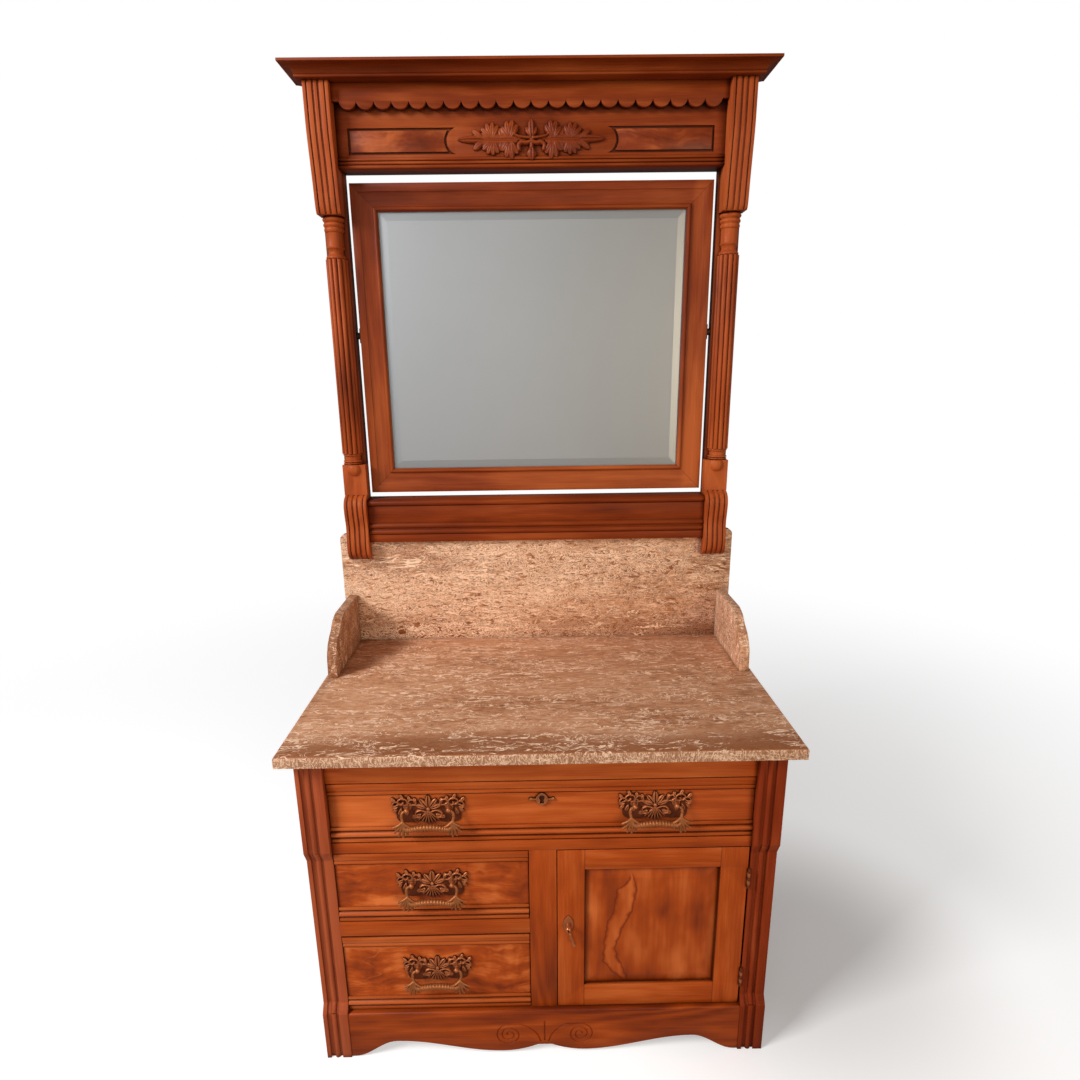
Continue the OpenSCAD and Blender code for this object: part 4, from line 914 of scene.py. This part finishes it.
class WASHSTAND_OT_drawers(bpy.types.Operator):
    """Moulded drawer fronts, two of them veneered, and their boxes"""

    bl_idname = "washstand.drawers"
    bl_label = "Drawers"

    def execute(self, context):
        # the drawer fronts take strong, wide painted shade in their reveals and mouldings, with the
        # dust
        plain = wood("Drawer wood", "front", GRAIN_X, seed=14.3, figure=0.5, cloudy=0.5, dirt_and_shade=0.9,
                     reach=20 * MM, lift=0.07)
        arris = sizes().wood_arris * 0.6
        dress("top_drawer_front", "top_drawer", plain, arris, angle=20)
        for name, seed, lift in (("upper", 17.6, 0.0), ("lower", 17.35, 0.07)):
            veneer = crotch_veneer(name.title() + " veneer", "front", seed, lift)
            self.veneered(name + "_drawer_front", name + "_drawer", plain, veneer, arris)
        paint(wood("Drawer lining", "inner", GRAIN_Y, seed=19.0, gloss=0.6),
              "top_drawer_box", "upper_drawer_box", "lower_drawer_box")
        return {"FINISHED"}

    def veneered(self, node, body, plain, veneer, arris):
        """A drawer front whose sunk field is veneered."""
        piece = softened(node, arris, angle=20)
        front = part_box(node)[0].y
        piece.data.materials.append(plain)
        piece.data.materials.append(veneer)
        for face in piece.data.polygons:
            sunk = face.center.y - front > sizes().veneer_edge
            if face.normal.y < -0.95 and sunk and face.area > LEAST_FIELD:
                face.material_index = 1
        finish(piece, body, None, (node,))


class WASHSTAND_OT_door(bpy.types.Operator):
    """Framed door with its figured panel"""

    bl_idname = "washstand.door"
    bl_label = "Door"

    def execute(self, context):
        arris = sizes().wood_arris
        # the door frame takes strong painted shade along its reveals round the panel, with the dust
        material = wood("Door frame wood", "front", GRAIN_Z, seed=21.0, dirt_and_shade=0.95,
                        joint_at=lambda m: railed(m, *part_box("door_frame")))
        dress("door_frame", "door", material, arris, ring=True)
        panel = flame_veneer("Door veneer", "front", *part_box("door_panel"))
        dress("door_panel", "door", panel, arris, angle=8)
        return {"FINISHED"}


class WASHSTAND_OT_marble(bpy.types.Operator):
    """Marble top, backsplash and side splashes"""

    bl_idname = "washstand.marble"
    bl_label = "Marble"

    def execute(self, context):
        low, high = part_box("marble_top")
        front, top = low.y, high.z
        for node, bed, seed, look in (
                ("marble_top", (0.26, 1, 1), 1.0, {
                    "flecks": 0.12, "edge": 0.85, "stain": (DEEP, front + 35 * MM, front + 100 * MM)}),
                # the backsplash is darker towards its foot, where it meets the top
                ("marble_backsplash", (0.2, 1, 1), 3.0, {
                    "flecks": 1.0, "lift": -0.11, "stain": (UP, top + 10 * MM, top + 90 * MM)}),
                # the side splashes are painted darker, the left one most: painted shade on their inner
                # faces
                ("marble_side_left", (1, 1, 0.3), 5.0, {
                    "strokes": 0.8, "flecks": 0.35, "lift": -0.26}),
                ("marble_side_right", (1, 1, 0.3), 6.0, {"flecks": 0.6, "lift": -0.12})):
            material = marble(node.replace("_", " ").capitalize(), bed, seed, **look)
            dress(node, "cabinet", material, sizes().marble_arris, angle=40)
        return {"FINISHED"}


class WASHSTAND_OT_harp(bpy.types.Operator):
    """Stiles, flared posts, half columns, brackets and rails of the harp"""

    bl_idname = "washstand.harp"
    bl_label = "Harp"

    def execute(self, context):
        fine = sizes().turned_arris
        # the stiles take strong painted shade beside the frieze and the posts, with the dust
        upright = wood("Harp wood upright", "harp", GRAIN_Z, seed=31.0, sheen=0.12, dirt_and_shade=0.85,
                       reach=14 * MM)
        across = wood("Harp wood across", "harp", GRAIN_X, seed=32.0, sheen=0.12)
        # painted shade in the hollows of the reeds and turnings, with the dust
        carved = wood("Harp post wood", "flare", GRAIN_Z, seed=33.0, sheen=0.14, dirt_and_shade=0.9,
                      reach=6 * MM)
        for side in ("left", "right"):
            dress("harp_stile_" + side, "cabinet", upright, sizes().wood_arris)
            for part, angle in (("flared_post_", 25), ("half_column_", 40), ("scroll_bracket_", 25)):
                dress(part + side, "cabinet", carved, fine, angle)
        dress("harp_bottom_rail", "cabinet", across, fine)
        dress("cornice", "cabinet", across, fine)
        self.frieze(fine)
        valance = wood("Valance wood", "harp", GRAIN_X, seed=35.0, figure=0.8, sheen=0.12)
        dress("valance", "cabinet", valance, fine)
        return {"FINISHED"}

    def frieze(self, arris):
        """The frieze board, its two sunk panels veneered."""
        low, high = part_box("frieze_board")
        carving_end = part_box("leaf_carving")[1].x
        spot = Vector(((carving_end + high.x) / 2, low.y, middle("leaf_carving").z))
        piece = softened("frieze_board", arris, ring=True)
        # the frieze takes the strongest painted shade, reaching under the valance and round the
        # carving, with the dust
        piece.data.materials.append(wood(
            "Frieze wood", "harp", GRAIN_X, seed=36.0, sheen=0.12, dirt_and_shade=1.0, reach=24 * MM))
        inlay(piece, (spot, Vector((-spot.x, spot.y, spot.z))),
              crotch_veneer("Frieze veneer", "harp", seed=5.3))
        finish(piece, "cabinet", None, ("frieze_board",))


def spray_height(x, z):
    """Height of the frieze's carving, in millimetres: a middle leaf between two hooked stems, then two
    lobed leaves and an end leaf to each side."""
    rise = sizes().carving_relief / MM
    side = [((0, 1), (70, 1), 6, rise * 0.6, 0.2, False),
            ((27, 0), (84, 0), 21, rise * 0.8, 0.3, False),
            ((50, 0), (128, 0), 25, rise * 0.75, 0.3, False)]
    for root, tips, width, share in (
            ((60, 0), ((66, 22), (65, -21)), 9, 0.7),
            ((46, 0), ((29, 28), (39, 37), (52, 35), (62, 24)), 9, 0.95),
            ((45, 0), ((29, -27), (41, -37), (53, -34), (62, -21)), 9, 0.9),
            ((82, 0), ((70, 27), (81, 33), (94, 31), (105, 22)), 8, 0.85),
            ((80, 0), ((70, -25), (81, -29), (93, -27), (103, -19)), 8, 0.8),
            ((98, 0), ((123, 18), (122, -18)), 8.5, 0.75)):
        side += [(root, tip, width, rise * share, 0.15) for tip in tips]
    side += [((96, 1), (155, 1), 12, rise * 0.8, 0.3, False)]
    tuft = [((0, -2), (0, 39), 9.5, rise, 0.25), ((0, 2), (-11, 24), 7, rise * 0.8, 0.1),
            ((0, 2), (11, 24), 7, rise * 0.8, 0.1), ((0, -10), (0, -39), 11, rise, 0.25),
            ((0, -14), (9, -31), 5.5, rise * 0.8, 0.1), ((0, -14), (-9, -31), 5.5, rise * 0.8, 0.1)]
    height = heaped(x, z, mirrored(side) + tuft)
    for hand in (-1, 1):
        for path, width, taper in (
                (((0, -3), (10, -6), (20, -5), (27, -10), (26, -18)), 5.2, 1.0),
                (((4, 3), (16, 4), (30, 7), (42, 14)), 4.2, 0.7)):
            path = [(hand * px, pz) for px, pz in path]
            height = np.maximum(height, band(x, z, path, width, rise * 0.9, taper))
    neck = band(x, z, [(0, 0), (0, -8), (0, -16)], 5, rise * 0.8)
    height = np.maximum(height, neck)
    return np.where(height > 0.2, height, CUT)


class WASHSTAND_OT_carving(bpy.types.Operator):
    """Carved spray of leaves on the frieze"""

    bl_idname = "washstand.carving"
    bl_label = "Frieze carving"

    def execute(self, context):
        centre = middle("leaf_carving")
        origin = Vector((centre.x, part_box("leaf_carving")[1].y, centre.z))
        leaves = relief("acanthus_spray", origin, (-156, -38), (156, 38), 0.8, 0.5 * MM, spray_height)
        # painted shade in the hollows between the leaves, with the dust
        material = wood("Carving wood", "harp", GRAIN_X, seed=37.0, gloss=0.38, sheen=0.22, dirt_and_shade=1.0,
                        reach=7 * MM)
        finish(leaves, "cabinet", material, ("leaf_carving",), smooth=50)
        return {"FINISHED"}


class WASHSTAND_OT_mirror(bpy.types.Operator):
    """Mirror frame, bevelled glass, backboard and pivots"""

    bl_idname = "washstand.mirror"
    bl_label = "Mirror"

    def execute(self, context):
        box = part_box("mirror_frame")
        # painted light and shade: the frame is painted paler at its foot and right side, and darker in
        # its corners, with the dust
        frame_wood = wood("Mirror frame wood", "harp", GRAIN_Z, seed=41.0, sheen=0.18, dirt_and_shade=0.8,
                          joint_at=lambda m: mitred(m, *box), lift=lambda m: painted_frame_light(m, *box))
        dress("mirror_frame", "mirror", frame_wood, sizes().turned_arris, angle=20,
              ring=True)
        paint(silvering(), "mirror_glass")
        paint(wood("Backboard wood", "inner", GRAIN_Z, seed=43.0, gloss=0.7), "mirror_backboard")
        f = finishes()
        iron = brass("Dark iron", f.iron, dimmed(f.iron, 0.3), gloss=0.5)
        worn = brass("Worn hinge metal", f.hinge, dimmed(f.hinge, 0.4), gloss=0.5)
        for node, body, metal in (
                ("mirror_pivots", "mirror", iron), ("mirror_pivot_plates", "cabinet", iron),
                ("drawer_lock", "top_drawer", iron), ("hinges_fixed", "cabinet", worn)):
            dress(node, body, metal, IRON_ARRIS)
        return {"FINISHED"}


def plate_height(x, z):
    """Height of a pull's plate, in millimetres from its middle: a flower over a fluted fan, and a wing
    of scrolls and leaf tips to each side, on a thin ground."""
    rise = sizes().pull_relief / MM
    petals = []
    for turn, reach, width in ((-72, 25, 6), (-38, 26, 6), (0, 28, 7), (38, 26, 6), (72, 25, 6)):
        turn = math.radians(turn)
        tip = (reach * math.sin(turn), 3 + reach * math.cos(turn))
        petals.append(((0, 3), tip, width, rise, 0.6))
    flutes = sizes().flutes
    for k in range(flutes):
        turn = math.radians(180 + 84 * (k / (flutes - 1) - 0.5))
        petals.append(((0, 0), (30 * math.sin(turn), 30 * math.cos(turn)), 2.4, rise * 0.95, 0.0))
    wing = [(root, tip, width, rise * share, crease)
            for root, tip, width, share, crease in WING_LEAVES]
    height = heaped(x, z, petals + mirrored(wing))
    for hand in (-1, 1):
        for path, width, share in WING_SCROLLS:
            path = [(hand * px, pz) for px, pz in path]
            height = np.maximum(height, band(x, z, path, width, rise * share, 0.8))
        boss = np.hypot(x - hand * STUD_X, z - STUD_Z)
        height = np.where(boss < 7.5, np.maximum(height, 3.2 - 0.1 * boss), height)
        # the ground reaches down between the bail's arms and is tarnished dark; there its dark also
        # stands in for the bail's shadow, painted shadow
        ground = ((x - hand * 36) / 25) ** 4 + ((z + 4) / 23) ** 4
        height = np.where(ground < 1, np.maximum(height, 0.8), height)
    bud = np.hypot(x, z - 3)
    height = np.where(bud < 19, np.maximum(height, 1.0), height)
    height = np.where(bud < 3.6, np.maximum(height, rise + 1.0 - 0.1 * bud ** 2), height)
    return np.where(height > 0.2, height, CUT)


class WASHSTAND_OT_pulls(bpy.types.Operator):
    """Cast pulls: leafy plates, studs and bails with clawed arms"""

    bl_idname = "washstand.pulls"
    bl_label = "Pulls"

    def execute(self, context):
        f = finishes()
        metal = brass("Plate brass", f.copper, f.brass_dark, hollow=6 * MM,
                      ground=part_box("upper_pull_plate")[1].y - PLATE_T)
        for name, node in (("top", "top_pull_plates"), ("upper", "upper_pull_plate"),
                           ("lower", "lower_pull_plate")):
            low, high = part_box(node)
            centres = [(low.x + high.x) / 2]
            if name == "top":
                centres = [low.x + PLATE_IN, high.x - PLATE_IN]
            parts = [part for x in centres for part in self.plate(x, low, high)]
            piece = joined(parts, name + "_pull_dressed")
            finish(piece, name + "_drawer", metal, (node,), smooth=60)
        metal = brass("Antique brass", f.brass, f.brass_dark, gloss=0.46, hollow=9 * MM)
        for node in ("top_bail_left", "top_bail_right", "upper_bail", "lower_bail"):
            piece = cast(joined(self.bail(node), node + "_dressed"), 0.55 * MM)
            finish(piece, node, metal, (node,), smooth=60)
        return {"FINISHED"}

    def plate(self, x, low, high):
        """A leafy plate around x and its two studs."""
        origin = Vector((x, high.y - PLATE_T, low.z + PLATE_UP))
        pivot = low.y + STUD_R
        parts = [relief("plate", origin, (-68, -36), (68, 35), 0.7, PLATE_T, plate_height)]
        for side in (-1, 1):
            stud = Vector((x + side * STUD_X * MM, pivot, origin.z + STUD_Z * MM))
            neck = [(stud.x, y, stud.z) for y in (high.y - 1 * MM, pivot + 2 * MM, pivot)]
            parts.append(rod("neck", neck, [4.2 * MM, 3.0 * MM, 2.0 * MM]))
            parts.append(ball(stud, STUD_R, 24, 16))
        return parts

    def bail(self, node):
        """A bail's two arms with their claws, and the ringed grip between them."""
        low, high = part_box(node)
        pivot = Vector(((low.x + high.x) / 2, high.y - 2 * MM, high.z - 2 * MM))
        size = sizes()

        def at(side, across, out, down):
            return pivot + Vector((side * across * MM, -out * MM, -down * MM))

        parts = []
        for side in (-1, 1):
            arm = smooth_path([at(side, *knot) for knot in BAIL_ARM])
            parts.append(rod("arm", arm, np.linspace(2.2, 3.2, len(arm)) * MM))
            parts.append(ball(at(side, 48, 2.5, 8), 3.2 * MM, 16, 12))
            for bend, tip in CLAW:
                finger = smooth_path([at(side, 46, 6.5, 19), at(side, bend[0], 9.5, bend[1]),
                                      at(side, tip[0], 8.5, tip[1])])
                count = len(finger) - 1
                thick = [size.finger_r * (1.3 - 0.3 * k / count) for k in range(count)]
                parts.append(rod("finger", finger, [*thick, size.finger_r * 1.3]))
        grip = smooth_path([at(1, *knot) for knot in GRIP], 14)
        thick = []
        for k in range(len(grip)):
            t = abs(k / (len(grip) - 1) - 0.5) * 2
            ring = 0.8 * MM if k % 4 < 2 and t < 0.66 else 0
            thick.append(size.grip_r * (1 - 0.4 * t ** 3) - ring)
        return [*parts, rod("grip", grip, thick, 4)]


def shield(x, z):
    """Height of the escutcheon: a rounded shield with a raised edge, a keyhole and two beaded arms. The
    keyhole is not cut through: it is sunk to the ground, where its finish paints it almost black,
    painted shade.
    """
    plate = (np.abs(x) / 11.8) ** 1.7 + (np.abs(z) / 13.5) ** 1.6
    height = np.where(plate < 1, 2.3 + 0.6 * (plate > 0.66), CUT)
    for side in (-1, 1):
        bead = np.hypot(x - side * 20.5, z + 0.5)
        height = np.where(bead < 3.8, np.maximum(height, 1.8 + 0.4 * (3.8 - bead)), height)
        arm = np.abs(z + 0.5) + np.maximum(np.abs(x - side * 15) - 4, 0)
        height = np.where(arm < 1.7, np.maximum(height, 2.4), height)
    hole = (np.hypot(x, z - 2.8) < 5.0) | ((np.abs(x) < 2.8 - 0.12 * z) & (z < 1) & (z > -9.5))
    return np.where(hole, 0.1, height)


class WASHSTAND_OT_escutcheon(bpy.types.Operator):
    """Escutcheon, door pull and lock bolt"""

    bl_idname = "washstand.escutcheon"
    bl_label = "Escutcheon and door pull"

    def execute(self, context):
        f = finishes()
        low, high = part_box("escutcheon")
        origin = Vector(((low.x + high.x) / 2, high.y - KEYPLATE_T, KEYPLATE_Z))
        piece = relief("escutcheon_dressed", origin, (-25, -15), (25, 15), 0.45, KEYPLATE_T, shield)
        # painted shade: the sunk keyhole is painted almost black, as a hole in shade
        keyhole_shaded_brass = brass("Pierced brass", f.copper, dimmed(f.brass_dark, 0.2), gloss=0.3,
                        ground=high.y - KEYPLATE_T)
        finish(piece, "top_drawer", keyhole_shaded_brass, ("escutcheon",), smooth=50)
        material = brass("Small brass", f.copper, f.brass_dark, gloss=0.3)
        dress("door_fittings", "door", material, BRASS_ARRIS)
        dress("door_drop", "door_drop", material, BRASS_ARRIS)
        paint(material, "lock_bolt")
        return {"FINISHED"}


class WASHSTAND_OT_stage(bpy.types.Operator):
    """Floor, lamps and camera"""

    bl_idname = "washstand.stage"
    bl_label = "Stage"

    def execute(self, context):
        clear_choice()
        bpy.ops.mesh.primitive_circle_add(
            vertices=96, radius=STAGE_R, fill_type="NGON", location=(0, 0, 0))
        floor = named(bpy.context.object, "stage_floor")
        floor.data.materials.append(self.ground())
        self.world()
        self.lamp("Key", (-3.0, -1.8, 3.1), 1.3, 145)
        self.lamp("Fill", (2.1, -3.5, 1.5), 1.8, 52, (1.0, 0.82, 0.58))
        self.lamp("Front", (-0.9, -3.7, 1.7), 2.0, 18)
        self.camera()
        return {"FINISHED"}

    def ground(self):
        """The floor: it glows to the camera and fades into the white backdrop, with a shadow beside
        the right post, and is a dull grey to everything else."""
        m = Recipe("Stage floor")
        here = m.place()
        shadow_at, shadow, open_floor = (0.62, -0.02, 0), (0.18, 0.18, 0.185), (0.465, 0.465, 0.47)
        far = m.rise(m.vector("LENGTH", here, output=1), 0.8, 3.2)
        lit = m.node("BsdfDiffuse", None, {
            "Color": m.mix(far, tuple(finishes().floor), (0, 0, 0))})
        from_shadow = m.vector("DISTANCE", here, shadow_at, output=1)
        near = m.mix(m.rise(from_shadow, 0.12, 0.55), shadow, open_floor)
        glow = m.node("Emission", None, {"Color": m.mix(far, near, (1, 1, 1))})
        dull = m.node("BsdfDiffuse", None, {"Color": (0.34, 0.33, 0.32, 1)})
        both = m.node("AddShader", None, {0: lit, 1: glow})
        seen = m.node("LightPath", output="Is Camera Ray")
        return m.surface(m.node("MixShader", None, {0: seen, 1: dull, 2: both}))

    def world(self):
        """White to the camera, a dim grey room to everything else."""
        m = Recipe("Studio", bpy.data.worlds.new("Studio"))
        room, white = [m.node("Background", None, {"Color": (level, level, level, 1)})
                       for level in (0.17, 1.0)]
        seen = m.node("LightPath", output="Is Camera Ray")
        bpy.context.scene.world = m.surface(
            m.node("MixShader", None, {0: seen, 1: room, 2: white}),
            "OutputWorld")

    def lamp(self, name, place, size, watts, tint=(1, 1, 1)):
        bpy.ops.object.light_add(type="AREA", location=place)
        lamp = bpy.context.object
        lamp.name = "stage_" + name.lower()
        lamp.data.size = size
        lamp.data.energy = watts
        lamp.data.color = tint
        way = LAMP_AIM - Vector(place)
        lamp.rotation_euler = way.to_track_quat("-Z", "Y").to_euler()

    def camera(self):
        """The photo's camera, as solved from the cabinet's corners in it. Its focal length and its
        shifts are in the photo's pixels."""
        photo_width, focal, shift_x, shift_y, sensor = 1080, 642.06, 2.74, -8.3, 36
        yaw, pitch, roll = 0.0084, 0.2480, -0.0127
        aside, in_front, up_by = -0.0110, 1.0270, 1.3776
        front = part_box("front_post_left")[0].y
        bpy.ops.object.camera_add(location=(aside, front - in_front, up_by))
        camera = bpy.context.object
        forward = Vector((math.sin(yaw) * math.cos(pitch), math.cos(yaw) * math.cos(pitch),
                          -math.sin(pitch)))
        right = Vector((math.cos(yaw), -math.sin(yaw), 0))
        up = right.cross(forward)
        tilted_right = math.cos(roll) * right + math.sin(roll) * up
        tilted_up = math.cos(roll) * up - math.sin(roll) * right
        camera.rotation_euler = Matrix((tilted_right, tilted_up, -forward)).transposed().to_euler()
        camera.data.sensor_width = sensor
        camera.data.lens = focal / photo_width * sensor
        camera.data.shift_x = shift_x / photo_width
        camera.data.shift_y = shift_y / photo_width
        bpy.context.scene.camera = camera


class WASHSTAND_PT_panel(bpy.types.Panel):
    """Sizes and finishes of the washstand, and its pieces"""

    bl_idname = "WASHSTAND_PT_panel"
    bl_label = "Washstand"
    bl_space_type = "VIEW_3D"
    bl_region_type = "UI"
    bl_category = "Washstand"

    def draw(self, context):
        for group in (sizes(), finishes()):
            box = self.layout.box()
            for name in group.__annotations__:
                box.prop(group, name)
        for piece in PIECES:
            self.layout.operator(piece.bl_idname)


PIECES = (
    WASHSTAND_OT_stage, WASHSTAND_OT_carcase, WASHSTAND_OT_posts, WASHSTAND_OT_apron,
    WASHSTAND_OT_drawers, WASHSTAND_OT_door, WASHSTAND_OT_marble, WASHSTAND_OT_harp,
    WASHSTAND_OT_carving, WASHSTAND_OT_mirror, WASHSTAND_OT_pulls, WASHSTAND_OT_escutcheon,
)
CLASSES = (WashstandSizes, WashstandFinishes, *PIECES, WASHSTAND_PT_panel)


def register():
    for each in CLASSES:
        bpy.utils.register_class(each)
    bpy.types.Scene.washstand_sizes = PointerProperty(type=WashstandSizes)
    bpy.types.Scene.washstand_finishes = PointerProperty(type=WashstandFinishes)


def unregister():
    del bpy.types.Scene.washstand_finishes
    del bpy.types.Scene.washstand_sizes
    for each in reversed(CLASSES):
        bpy.utils.unregister_class(each)


def main():
    register()
    bpy.context.scene.view_settings.view_transform = "Standard"
    for piece in PIECES:
        group, name = piece.bl_idname.split(".")
        getattr(getattr(bpy.ops, group), name)()


if __name__ == "__main__":
    main()
